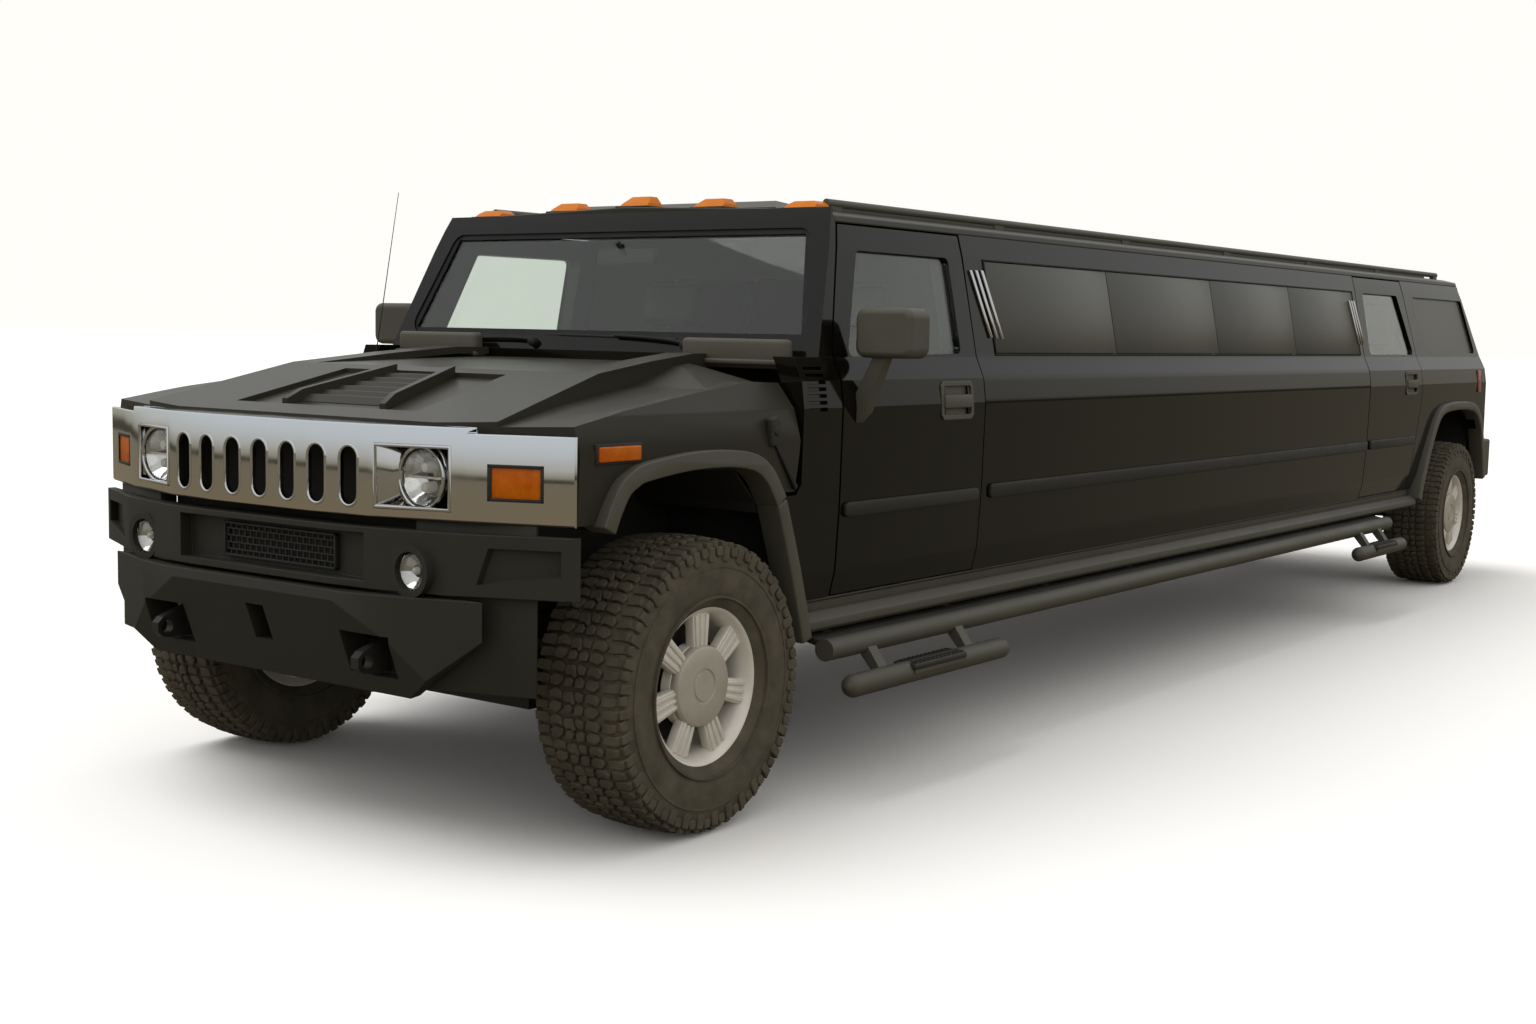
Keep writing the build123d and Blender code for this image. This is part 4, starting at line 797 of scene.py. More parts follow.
# Chromium plate of the nose, with a painted reflection in its colour: bluish grey towards the top, as if mirroring the
# sky, and warm brown towards the bumper, as if mirroring the ground.
NOSE_CHROME = PaintedReflectionChrome("chromium_plate_filmed", "#CFD0D2", patch=160, metallic=1.0, roughness=0.09,
                           uneven=0.04, levels=(
    (928, "#D2C8BA"), (990, "#CDC7BE"), (1090, "#C6C8CA"), (1135, "#CCD1D6"), (1181, "#CFD5DB")))

FINISH_OF_SLOT = {
    "body_paint": PAINT, "satin_plastic": SATIN, "chrome": CHROME, "tyre": RUBBER, "wheel_alloy": ALLOY,
    "cast_iron": IRON, "chassis_steel": STEEL, "engine_metal": ENGINE, "floor_sheet": SHEET,
    "dark_glass": DARK_GLASS, "tinted_glass": GREEN_GLASS, "clear_lens": CLEAR, "amber_lens": AMBER,
    "red_lens": RED, "trim_plastic": TRIM, "seat_leather": HIDE,
}


def dress_frame() -> None:
    """Gives every CAD node the finish of its slot."""
    slots = {part["node"]: part["material_slot"] for part in frame["record"]["subparts"]}
    for name, thing in frame["nodes"].items():
        thing.data.materials.clear()
        thing.data.materials.append(FINISH_OF_SLOT[slots[name]].material())


# ------------------------------------------------------------------ studio
@dataclass
class Studio:
    """Camera, floor, sky and lamps."""

    eye: Point = (4205.5, -4082.0, 1450.1)
    azimuth: float = 36.21
    dip: float = 5.65
    roll: float = 1.11
    focal: float = 1831.9        # pixels, on an image 1536 wide
    wide: float = 1536.0

    def build(self) -> None:
        """Sets up all of it."""
        scene = bpy.context.scene
        scene.view_settings.view_transform = "Standard"
        self.camera()
        self.floor()
        self.sky()
        self.lamp("sun_key", (-0.42, -0.25, 0.87), 1.6, 50)
        self.lamp("sun_fill", (0.75, -0.45, 0.48), 0.35, 60)

    def camera(self) -> None:
        """Camera at the viewing angle."""
        a, e, r = (math.radians(v) for v in (self.azimuth, self.dip, self.roll))
        ahead = Vector((-math.sin(a) * math.cos(e), math.cos(a) * math.cos(e), -math.sin(e)))
        level = Vector((math.cos(a), math.sin(a), 0))
        rise = level.cross(ahead)
        right = level * math.cos(r) + rise * math.sin(r)
        up = rise * math.cos(r) - level * math.sin(r)
        lens = bpy.data.cameras.new("camera")
        lens.lens = lens.sensor_width * self.focal / self.wide
        lens.sensor_fit = "HORIZONTAL"
        lens.clip_end = 500
        camera = bpy.data.objects.new("camera", lens)
        turn = Matrix((right, up, -ahead)).transposed().to_4x4()
        camera.matrix_world = Matrix.Translation(spot(*self.eye)) @ turn
        bpy.context.scene.collection.objects.link(camera)
        bpy.context.scene.camera = camera

    def floor(self) -> None:
        """Pale floor as the camera sees it. Reflections and bounce light see it brown-grey instead: a painted dark
        reflection of the ground, and painted shade under the body.
        """
        start_fresh()
        bpy.ops.mesh.primitive_plane_add(size=400, location=(0, 0, 0))
        floor = settle("floor")
        made = bpy.data.materials.new("matt_studio_floor")
        made.use_nodes = True
        tree = made.node_tree
        tree.nodes.clear()
        seen = add_node(tree, "ShaderNodeLightPath").outputs["Is Camera Ray"]
        bright = add_node(tree, "ShaderNodeBsdfDiffuse", {"Color": linear("#FBFAF8")})
        # Brown-grey seen by every ray but the camera's: painted dark ground reflection and painted shade.
        ground = add_node(tree, "ShaderNodeBsdfDiffuse", {"Color": linear("#787264")})
        shader = add_node(tree, "ShaderNodeMixShader", links={"Fac": seen})
        tree.links.new(ground.outputs[0], shader.inputs[1])
        tree.links.new(bright.outputs[0], shader.inputs[2])
        add_node(tree, "ShaderNodeOutputMaterial", links={"Surface": shader.outputs[0]})
        floor.data.materials.append(made)

    def sky(self) -> None:
        """Warm white background, and a plain grey light from all round."""
        world = bpy.data.worlds.new("studio_sky")
        bpy.context.scene.world = world
        world.use_nodes = True
        tree = world.node_tree
        tree.nodes.clear()
        path = add_node(tree, "ShaderNodeLightPath")
        seen = add_node(tree, "ShaderNodeMath", {"operation": "MAXIMUM"})
        tree.links.new(path.outputs["Is Camera Ray"], seen.inputs[0])
        tree.links.new(path.outputs["Is Transmission Ray"], seen.inputs[1])
        light = add_node(tree, "ShaderNodeBackground", {"Color": linear("#F7F5F2"), "Strength": 0.8})
        mirror = add_node(tree, "ShaderNodeBackground", {"Strength": 1.0}, {"Color": self.horizon(tree)})
        white = add_node(tree, "ShaderNodeBackground", {"Color": linear("#FFFEFA"), "Strength": 1.0})
        glossy = add_node(tree, "ShaderNodeMixShader", links={"Fac": path.outputs["Is Glossy Ray"]})
        tree.links.new(light.outputs[0], glossy.inputs[1])
        tree.links.new(mirror.outputs[0], glossy.inputs[2])
        whole = add_node(tree, "ShaderNodeMixShader", links={"Fac": seen.outputs[0]})
        tree.links.new(glossy.outputs[0], whole.inputs[1])
        tree.links.new(white.outputs[0], whole.inputs[2])
        add_node(tree, "ShaderNodeOutputWorld", links={"Surface": whole.outputs[0]})

    def horizon(self, tree: Tree) -> Socket:
        """Sky that mirrors show: pale overhead, greyer towards the horizon.

        Args:
            tree: the world's node tree.

        Returns:
            The socket that carries its colour.
        """
        way = add_node(tree, "ShaderNodeTexCoord").outputs["Generated"]
        rise = add_node(tree, "ShaderNodeSeparateXYZ", links={"Vector": way}).outputs["Z"]
        ramp = add_node(tree, "ShaderNodeValToRGB", links={"Fac": rise})
        stops = ramp.color_ramp.elements
        stops[0].position, stops[0].color = 0.0, linear("#4B483C")
        stops[1].position, stops[1].color = 0.9, linear("#F2F2F2")
        for position, colour in ((0.018, "#4B483C"), (0.035, "#A5A08F"), (0.10, "#D0CEC6"), (0.2, "#DDDEDC"),
                                 (0.5, "#E6E8EA")):
            stops.new(position).color = linear(colour)
        return ramp.outputs["Color"]

    def lamp(self, name: str, way: Point, strength: float, angle: float) -> None:
        """Very wide sun, which mirrors don't show.

        Args:
            name: the lamp's name.
            way: the direction it shines from.
            strength: its strength.
            angle: its width on the sky, in degrees.
        """
        light = bpy.data.lights.new(name, "SUN")
        light.energy = strength
        light.angle = math.radians(angle)
        thing = bpy.data.objects.new(name, light)
        thing.rotation_euler = Vector(way).to_track_quat("Z", "Y").to_euler()
        thing.visible_glossy = False
        bpy.context.scene.collection.objects.link(thing)


# ------------------------------------------------------------------ body side
SIDE_SECTION = [(555, 952), (615, 966), (700, 986), (900, 998), (1215, 1005), (1300, 994), (1372, 962),
                (1720, 893), (1800, 872), (1860, 856)]   # height, half width


def skin_x(z: float) -> float:
    """Half width of the body's outer face at a height.

    Args:
        z: the height in millimetres.

    Returns:
        The half width in millimetres.
    """
    for (z0, x0), (z1, x1) in zip(SIDE_SECTION, SIDE_SECTION[1:]):
        if z <= z1:
            return x0 + (x1 - x0) * (z - z0) / (z1 - z0)
    return SIDE_SECTION[-1][1]


def side_plate(name: str, corners: Sequence[Corner], sunk: float, proud: float, width: float = 2.0) -> Thing:
    """Plate that lies on the left side of the body.

    Args:
        name: the piece's name.
        corners: its outline, y and z.
        sunk: how far it reaches into the skin, in millimetres.
        proud: how far it stands off the skin.
        width: rounding of its edges.

    Returns:
        The plate.
    """
    return plate(name, Across.X, corners, -sunk, proud, width, slant=lambda y, z: skin_x(z))


def oblong(a0: float, a1: float, b0: float, b1: float) -> list[Corner]:
    """Corners of an upright rectangle."""
    return [(a0, b0), (a1, b0), (a1, b1), (a0, b1)]


def clipped(a0: float, a1: float, b0: float, b1: float, cut_a: float, cut_b: float) -> list[Corner]:
    """Corners of an upright rectangle with its corners cut off.

    Args:
        a0: least first coordinate.
        a1: greatest first coordinate.
        b0: least second coordinate.
        b1: greatest second coordinate.
        cut_a: length of the cut along the first axis.
        cut_b: length of the cut along the second axis.

    Returns:
        The eight corners.
    """
    return [(a0, b0 + cut_b), (a0 + cut_a, b0), (a1 - cut_a, b0), (a1, b0 + cut_b), (a1, b1 - cut_b),
            (a1 - cut_a, b1), (a0 + cut_a, b1), (a0, b1 - cut_b)]


def nothing_picked(thing: Thing, kind: str) -> None:
    """Lets edit mode pick one kind of element and clears what is picked.

    Args:
        thing: the object, which is left in object mode.
        kind: VERT, EDGE or FACE.
    """
    reshape(thing, lambda: bpy.ops.mesh.select_mode(type=kind))
    for item in (*thing.data.vertices, *thing.data.edges, *thing.data.polygons):
        item.select = False


def widest_picked(thing: Thing, way: Vector, close: float) -> None:
    """Picks the large faces that look one way.

    Args:
        thing: the object.
        way: the direction, of length 1.
        close: least cosine between a face's normal and that direction.
    """
    nothing_picked(thing, "FACE")
    widest = max(face.area for face in thing.data.polygons if face.normal.dot(way) > close)
    for face in thing.data.polygons:
        face.select = face.normal.dot(way) > close and face.area > widest * 0.5


def sink(thing: Thing, way: Point, rim: float, depth: float) -> Thing:
    """Insets the faces that look one way and pushes them in.

    Args:
        thing: the piece.
        way: the direction they look.
        rim: width of the border that stays, in millimetres.
        depth: how far the middle is pushed in.

    Returns:
        The same piece, with the middle picked.
    """
    look = Vector(way).normalized()
    widest_picked(thing, look, 0.94)
    return reshape(thing, lambda: bpy.ops.mesh.inset(thickness=rim / 1000, use_even_offset=True),
                   lambda: bpy.ops.mesh.extrude_region_move(TRANSFORM_OT_translate={"value": look * (-depth / 1000)}))


def trimmed(thing: Thing, point: Point, way: Vector) -> Thing:
    """Cuts off what lies beyond a plane and closes the cut.

    Args:
        thing: the piece.
        point: a point on the plane.
        way: the direction that is cut away.

    Returns:
        The same piece.
    """
    return edit(thing, lambda: bpy.ops.mesh.bisect(plane_co=spot(*point), plane_no=way, clear_outer=True,
                                                   use_fill=True))


def bevel_where(thing: Thing, width: float, segments: int, low: float, high: float = 179.0,
                keep: Callable[[Vector, Vector], bool] = lambda a, b: True) -> Thing:
    """Rounds the edges that pass a test.

    Args:
        thing: the piece.
        width: width of the rounding in millimetres.
        segments: flats across the rounding.
        low: least angle between an edge's two faces, in degrees.
        high: greatest angle.
        keep: test on the edge's two ends, in millimetres with y from the front axle.

    Returns:
        The same piece.
    """
    nothing_picked(thing, "EDGE")
    normals: dict[tuple[int, int], list[Vector]] = {}
    for face in thing.data.polygons:
        for key in face.edge_keys:
            normals.setdefault(key, []).append(face.normal.copy())
    axle = Vector((0, FRONT_AXLE_Y, 0))
    for edge in thing.data.edges:
        pair = normals.get(tuple(sorted(edge.vertices)), [])
        ends = [thing.data.vertices[n].co * 1000 - axle for n in edge.vertices]
        edge.select = len(pair) == 2 and low < math.degrees(pair[0].angle(pair[1], 0.0)) < high and keep(*ends)
    return reshape(thing, lambda: bpy.ops.mesh.bevel(offset=width / 1000, segments=segments, affect="EDGES",
                                                     clamp_overlap=True))


def flowing(points: Sequence[Corner], steps: int = 5) -> list[Corner]:
    """Smooth line through points, as a Catmull-Rom spline.

    Args:
        points: the points.
        steps: steps between each two of them.

    Returns:
        The line's corners.
    """
    def between(t: float, p: float, q: float, r: float, s: float) -> float:
        """Value at a share t of the way from q to r, with p before and s behind."""
        return 0.5 * (2 * q + (r - p) * t + (2 * p - 5 * q + 4 * r - s) * t * t + (3 * q - p - 3 * r + s) * t ** 3)

    ends = [points[0], *points, points[-1]]
    line = [tuple(between(n / steps, *values) for values in zip(*four))
            for four in zip(ends, ends[1:], ends[2:], ends[3:]) for n in range(steps)]
    return [*line, tuple(points[-1])]


def band(line: Sequence[Corner], width: float) -> list[Corner]:
    """Outline of a band along a line.

    Args:
        line: the line's corners.
        width: the band's width, on the line's right.

    Returns:
        The outline.
    """
    inner = []
    for n, (a, b) in enumerate(line):
        (a0, b0), (a1, b1) = line[max(n - 1, 0)], line[min(n + 1, len(line) - 1)]
        long = math.hypot(a1 - a0, b1 - b0)
        inner.append((a + (b1 - b0) / long * width, b - (a1 - a0) / long * width))
    return [*line, *reversed(inner)]


@dataclass
class Shells:
    """Panels and mouldings that keep their CAD form and get the radii of pressed and moulded parts."""

    press: float = 3.5           # radius along a panel's shut lines
    crease: float = 16.0         # radius of the creases between a panel's flats
    moulding: float = 6.0        # radius of the plastic mouldings' edges

    def build(self) -> None:
        """Rounds every shell."""
        for door in ("left_front_door", "left_rear_door", "right_front_door", "right_rear_door"):
            self.panel(door, door)
        for node in ("bulkhead", "stretch_panels", "rear_body", "windscreen_frame"):
            self.panel(node, "chassis")
        # The roof takes the lighter enamel: painted sky light on a panel that faces up.
        self.panel("roof_panel", "chassis", 10, 30, TOP_LIT_PAINT)
        self.panel("liftgate", "liftgate", 6, 24)
        placed(shade(rounded_node("sills", 4)), "chassis", "body_paint", SATIN, "sills")
        for node, body, width in (("rear_bumper", "chassis", 14.0), ("roof_rails", "chassis", 3.0),
                                  ("side_steps", "chassis", 5.0)):
            placed(shade(rounded_node(node, width, 3)), body, "satin_plastic", SATIN, node)

    def panel(self, node: str, body: str, press: float | None = None, crease: float | None = None,
              finish: Finish = PAINT) -> None:
        """Painted panel: creases first, then the shut lines.

        Args:
            node: the CAD node.
            body: the body it rides on.
            press: radius along its shut lines, if it isn't the usual one.
            crease: radius of its creases, if it isn't the usual one.
            finish: its surface.
        """
        thing = rounded_node(node, 0)
        bevel_where(thing, crease or self.crease, 3, 6, 45)
        soften(thing, press or self.press, 2, 50)
        placed(shade(thing), body, "body_paint", finish, node)


@dataclass
class Arches:
    """Arch mouldings in one sweep over each wheel, and the band along the sills."""

    wide: float = 50.0
    outer: float = 1031.0
    inner: float = 945.0
    front: Sequence[Corner] = (
        (-470, 925), (-440, 985), (-401, 1040), (-353, 1070), (-294, 1088), (-91, 1109), (100, 1107), (215, 1086),
        (285, 1042), (330, 985), (349, 957))            # rides on the hood
    behind: Sequence[Corner] = ((352, 951), (372, 900), (422, 763), (462, 640), (500, 512))
    rear: Sequence[Corner] = (
        (-724, 560), (-690, 650), (-600, 812), (-520, 935), (-430, 1035), (-330, 1082), (-200, 1100), (0, 1106),
        (200, 1100), (330, 1082), (430, 1035), (520, 930), (600, 700), (622, 615))   # from the rear axle
    sill: Sequence[Corner] = ((880, 562), (880, 540), (993, 518), (1007, 530), (1007, 556), (972, 578), (950, 578))
    sill_y: tuple[float, float] = (505.0, REAR_AXLE - 716.0)

    def build(self) -> None:
        """Left mouldings, then their twins; they stand for the CAD's."""
        front = self.moulding("front_arch", flowing(self.front))
        lower = self.moulding("front_arch_foot", flowing(self.behind))
        rear = self.moulding("rear_arch", [(y + REAR_AXLE, z) for y, z in flowing(self.rear)])
        sill = plate("sill_band", Across.Y, self.sill, *self.sill_y, 4, 2)
        both(front, "hood", "satin_plastic", SATIN, "hood_flares")
        fixed = [lower, rear, sill, *(mirrored(piece, "twin") for piece in (lower, rear, sill))]
        placed(joined("body_cladding_dressed", fixed), "chassis", "satin_plastic", SATIN, "body_cladding")

    def moulding(self, name: str, line: Sequence[Corner]) -> Thing:
        """Moulding along a line, with its edges rounded."""
        return plate(name, Across.X, band(line, self.wide), self.inner, self.outer, 9, 3)


# ------------------------------------------------------------------ wheels
@dataclass
class Wheels:
    """Off-road tyre on a seven-spoke alloy wheel, modelled at the left front and copied."""

    centre: Point = (WHEEL_X, 0.0, AXLE_Z)
    pitches: int = 36
    crown: float = 430.0
    base: float = 413.0
    ring_radii: tuple[float, float] = (262.0, 350.0)    # raised rings of a sidewall
    spokes: int = 7
    spoke_half: tuple[float, float] = (31.0, 40.0)      # half width at the hub and at the barrel
    spoke_radii: tuple[float, float] = (104.0, 214.0)
    carcass: Sequence[Corner] = (
        (-118, 222), (-146, 246), (-156, 296), (-156, 345), (-150, 378), (-142, 400), (-126, 411), (-60, 415),
        (60, 415), (126, 411), (142, 400), (150, 378), (156, 345), (156, 296), (146, 246), (118, 222))
    barrel: Sequence[Corner] = (
        (120, 220), (127, 228), (128, 235), (122, 239), (116, 235), (111, 224), (104, 214), (60, 210), (-20, 205),
        (-100, 206), (-116, 226), (-124, 236), (-126, 224), (-110, 198), (-20, 196), (60, 200), (92, 203))
    cap: Sequence[Corner] = (
        (122, 0), (122, 42), (118, 44), (118, 50), (122, 52), (121, 106), (118, 115), (112, 119), (98, 120), (84, 116))
    # Outline of each tread block in one pitch: distance across, distance along.
    blocks: Sequence[Sequence[Corner]] = (
        ((-34, -33), (-8, -30), (-3, -14), (-12, -4), (-30, -8)),
        ((-28, 0), (-10, 3), (0, -6), (8, 4), (2, 20), (-6, 32), (-30, 30), (-35, 14)),
        ((10, -34), (34, -30), (36, -12), (26, -2), (8, -8), (6, -20)),
        ((16, 6), (34, 6), (36, 28), (12, 34), (8, 20)),
        ((44, -30), (74, -36), (88, -22), (82, -6), (58, -2), (42, -12)),
        ((44, 4), (62, 8), (86, 2), (92, 18), (80, 33), (54, 34), (43, 22)),
        ((-44, -20), (-60, -34), (-84, -30), (-90, -12), (-72, 0), (-44, -4)),
        ((-42, 8), (-68, 10), (-86, 6), (-88, 26), (-66, 38), (-44, 28)),
        ((98, -34), (146, -31), (150, -6), (120, -4), (96, -12)),
        ((96, 2), (128, 4), (141, 8), (142, 30), (104, 34), (98, 18)),
        ((-98, -28), (-142, -32), (-143, -8), (-120, -4), (-97, -6)),
        ((-97, 4), (-124, 4), (-149, 7), (-147, 33), (-106, 36), (-96, 20)),
    )

    def build(self) -> None:
        """One wheel, then its three twins."""
        pieces = {
            "tyre": (self.tyre(), "tyre", RUBBER), "rim": (self.rim(), "wheel_alloy", ALLOY),
            "cap": (self.centre_cap(), "wheel_alloy", CAP), "disc": (self.brake(), "chassis_steel", IRON),
        }
        back = Matrix.Translation((0, REAR_AXLE / 1000, 0))
        flip = Matrix.Diagonal((-1, 1, 1, 1))
        moves = {"right_front": flip, "left_rear": back, "right_rear": back @ flip, "left_front": None}
        for place, move in moves.items():
            for kind, (thing, slot, finish) in pieces.items():
                piece = thing if move is None else copied(thing, "", move)
                piece.name = f"{place}_{kind}_dressed"
                stands_for = [f"{place}_{kind}"] if kind in ("tyre", "rim") else []
                placed(piece, f"{place}_wheel", slot, finish, *stands_for)

    def around(self, thing: Thing, count: int, name: str) -> Thing:
        """Copies a piece round the axle and joins the ring.

        Args:
            thing: the piece, at the top of the wheel.
            count: how many there are round the wheel.
            name: the ring's name.

        Returns:
            The ring.
        """
        hub = Matrix.Translation(spot(WHEEL_X, 0, AXLE_Z))
        ring = [copied(thing, name, hub @ Matrix.Rotation(math.tau * n / count, 4, "X") @ hub.inverted())
                for n in range(1, count)]
        return joined(name, [thing, *ring])

    def tyre(self) -> Thing:
        """Carcass with tread blocks, shoulder lugs and the raised rings of the sidewall.

        Returns:
            The tyre.
        """
        body = turned("carcass", self.carcass, self.centre, AXLE, 72, angle=50)
        tread = self.around(joined("pitch", [*self.tread_blocks(), *self.lugs()]), self.pitches, "tread")
        rings = []
        for side in (1, -1):
            for r0 in self.ring_radii:
                profile = [(150 * side, r0 - 4), (158 * side, r0 - 3), (158 * side, r0 + 3), (150 * side, r0 + 4)]
                rings.append(turned("ring", profile, self.centre, AXLE, 72))
        return joined("tyre", [body, tread, *rings])

    def tread_blocks(self) -> list[Thing]:
        """Tread blocks of one pitch, which stand lower towards the shoulders.

        Returns:
            The blocks.
        """
        parts = []
        for n, outline in enumerate(self.blocks):
            share = max(abs(x) for x, _ in outline) / 150
            parts.append(plate(f"block_{n}", Across.Z, [(WHEEL_X + x, y * 0.96) for x, y in outline],
                               AXLE_Z + self.base - 14 * share ** 3, AXLE_Z + self.crown - 11 * share ** 2.4, 1.6, 1))
        return parts

    def lugs(self) -> list[Thing]:
        """Shoulder lugs of one pitch, on both sidewalls.

        Returns:
            The lugs.
        """
        parts = []
        for side in (1, -1):
            for y, foot in ((-17, 362), (20, 378)):
                lug = [(y - 15, foot + 6), (y - 9, foot), (y + 9, foot), (y + 15, foot + 6), (y + 13, 406),
                       (y - 13, 406)]
                parts.append(plate("lug", Across.X, [(a, AXLE_Z + b) for a, b in lug], WHEEL_X + side * 138,
                                   WHEEL_X + side * 157.5, 3, 1))
        return parts

    def rim(self) -> Thing:
        """Barrel, dish and ribbed spokes.

        Returns:
            The rim.
        """
        barrel = turned("barrel", self.barrel, self.centre, AXLE, 72, closed=True)
        dish = turned("dish", [(98, 60), (98, 104), (88, 120), (60, 124), (52, 60)], self.centre, AXLE, 48,
                      closed=True)
        half_in, half_out = self.spoke_half
        low, high = (AXLE_Z + radius for radius in self.spoke_radii)
        ribs = []
        for n in (-1, 0, 1):
            a, b = n * half_in * 0.6, n * half_out * 0.62
            ribs.append(plate("rib", Across.X, [(a - 6, low), (a + 6, low), (b + 8, high - 6), (b - 8, high - 6)],
                              WHEEL_X + 92, WHEEL_X + 112, 4))
        web = plate("web", Across.X, [(-half_in, low), (half_in, low), (half_out, high), (-half_out, high)],
                    WHEEL_X + 74, WHEEL_X + 106, 5)
        return joined("rim", [barrel, dish, self.around(joined("spoke", [web, *ribs]), self.spokes, "spokes")])

    def centre_cap(self) -> Thing:
        """Plain domed cap with a ring groove."""
        return turned("cap", self.cap, self.centre, AXLE, 64)

    def brake(self) -> Thing:
        """Brake disc inside the barrel."""
        return turned("disc", [(8, 60), (8, 168), (30, 168), (30, 96), (58, 92), (58, 60)], self.centre, AXLE, 48,
                      closed=True)


# ------------------------------------------------------------------ nose
@dataclass
class Nose:
    """Chromed surround with its lamps."""

    lamp: Point = (572.0, -672.0, 1041.0)      # middle of a headlamp's floor
    lamp_radius: float = 80.0
    amber: tuple[float, float, float, float] = (780.0, 927.0, 990.0, 1088.0)
    fog: Point = (583.0, -738.0, 794.0)
    fog_radius: float = 52.0
    front: Sequence[Corner] = ((0, -773), (215, -773), (430, -754), (725, -676), (855, -623), (1005, -562))
    front_z: tuple[float, float] = (930.0, 1160.0)   # the front's rolled edges lie below and above these
    back: float = -555.0         # and ahead of this
    slots: int = 7
    slot_pitch: float = 120.0
    slot_radius: float = 34.0
    slot_z: tuple[float, float] = (989.0, 1087.0)    # centres of a slot's round ends
    knee: float = 855.0          # the corner's bend crosses the indicator here

    def build(self) -> None:
        """Surround, headlamps, indicators and fog lamps."""
        self.surround()
        self.rims()
        self.headlamp()
        self.fog_lamp()
        both(self.indicator(), "chassis", "amber_lens", AMBER)
        both(self.indicator_frame(), "chassis", "trim_plastic", TRIM)

    def surround(self) -> None:
        """CAD surround with the long edges of its front rolled over, and a wing beside each headlamp."""
        thing = rounded_node("grille_surround", 0)
        bevel_where(thing, 20, 4, 40, keep=lambda a, b: min(a.z, b.z) > self.front_z[1] and max(a.y, b.y) < self.back)
        bevel_where(thing, 16, 4, 40, keep=lambda a, b: max(a.z, b.z) < self.front_z[0] and max(a.y, b.y) < self.back)
        soften(thing, 6, 3, 50)
        # Its chrome carries a painted reflection: warm towards the bottom, cool towards the top.
        placed(shade(thing), "chassis", "chrome", NOSE_CHROME, "grille_surround")
        wing = plate("headlamp_wing", Across.Z, [(449, -744), (455, -748), (503, -680), (449, -676)], 957, 1130, 3)
        both(wing, "chassis", "chrome", CHROME)

    def headlamp(self) -> None:
        """Lens, bowl, bulbs and ring of the headlamps."""
        x, y, z = self.lamp
        both(self.lens("headlamp_lens", (x, y - 16, z), self.lamp_radius, 11), "chassis", "clear_lens", CLEAR,
             "headlamps")
        both(self.bowl("headlamp_bowl", (x, y - 14, z), self.lamp_radius, 52), "chassis", "chrome", CHROME)
        both(self.bulbs(x, y, z), "chassis", "clear_lens", MILK)
        ring = turned("headlamp_ring", [(-22, 79), (-25, 82), (-25, 87), (-20, 90), (4, 90), (4, 79)],
                      (x, y, z), (0, 1, 0), 64, closed=True)
        both(ring, "chassis", "chrome", CHROME)

    def fog_lamp(self) -> None:
        """Lens, bowl and bulb of the fog lamps."""
        x, y, z = self.fog
        both(self.lens("fog_lens", (x, y + 6, z), self.fog_radius, 9), "chassis", "clear_lens", CLEAR)
        both(self.bowl("fog_bowl", (x, y + 8, z), self.fog_radius, 26), "chassis", "chrome", CHROME)
        both(bar("fog_bulb", (x, y + 26, z), (x, y + 10, z), 12, tip=7), "chassis", "clear_lens", MILK)

    def rims(self) -> None:
        """Bright rolled edges round the slots and round the headlamps' recesses."""
        rims, radius, (low, high) = [], self.slot_radius, self.slot_z
        arc = [math.pi * k / 8 for k in range(9)]
        for n in range(self.slots):
            x = (n - self.slots // 2) * self.slot_pitch
            loop = [(x + radius * math.cos(t), high + radius * math.sin(t)) for t in arc]
            loop += [(x - radius * math.cos(t), low - radius * math.sin(t)) for t in arc]
            rims.append(wire("rim", [(a, self.depth(abs(a)) + 2, b) for a, b in [*loop, loop[0]]], 5, smooth=False))
        placed(joined("slot_rims", rims), "chassis", "chrome", CHROME)
        loop = oblong(452, 676, 960, 1127)
        both(wire("recess_rim", [(a, self.depth(a) + 2, b) for a, b in [*loop, loop[0]]], 7, smooth=False), "chassis",
             "chrome", CHROME)

    def lens(self, name: str, middle: Point, radius: float, rise: float) -> Thing:
        """Domed clear lens with its skirt.

        Args:
            name: the piece's name.
            middle: middle of its rim.
            radius: its radius in millimetres.
            rise: height of its dome.

        Returns:
            The lens.
        """
        out = [(-rise * (1 - (k / 5) ** 2), radius * k / 5) for k in range(6)]
        back = [(a + 5, r * 0.95) for a, r in reversed(out)]
        return turned(name, [*out, (8, radius), (8, radius * 0.95), *back], middle, (0, 1, 0), 64)

    def bowl(self, name: str, middle: Point, radius: float, deep: float) -> Thing:
        """Reflector bowl.

        Args:
            name: the piece's name.
            middle: middle of its rim.
            radius: the lens's radius in millimetres.
            deep: depth of the bowl.

        Returns:
            The bowl.
        """
        r = radius * 0.96
        inner = [(deep * (1 - (k / 6) ** 2), r * k / 6) for k in range(7)]
        outer = [(a + 3, q + 1) for a, q in reversed(inner)]
        return turned(name, [*inner, *outer[:-1], (deep + 3, 0)], middle, (0, 1, 0), 48)

    def bulbs(self, x: float, y: float, z: float) -> Thing:
        """Two bulb shields, one over the other, on a bridge.

        Args:
            x: middle of the lamp.
            y: floor of the lamp.
            z: height of the lamp.

        Returns:
            The shields and the bridge as one piece.
        """
        shields = [bar("shield", (x, y + 30, z + dz), (x, y - 8, z + dz), 17, tip=13, width=3) for dz in (27, -27)]
        bridge = block("bridge", (x - 74, y - 4, z - 3), (x + 74, y + 2, z + 3), 1)
        return joined("headlamp_bulbs", [*shields, bridge])

    def depth(self, x: float) -> float:
        """The front face's y at a distance from the middle.

        Args:
            x: the distance in millimetres.

        Returns:
            The y in millimetres.
        """
        for (x0, y0), (x1, y1) in zip(self.front, self.front[1:]):
            if x <= x1:
                return y0 + (y1 - y0) * (x - x0) / (x1 - x0)
        return self.front[-1][1]

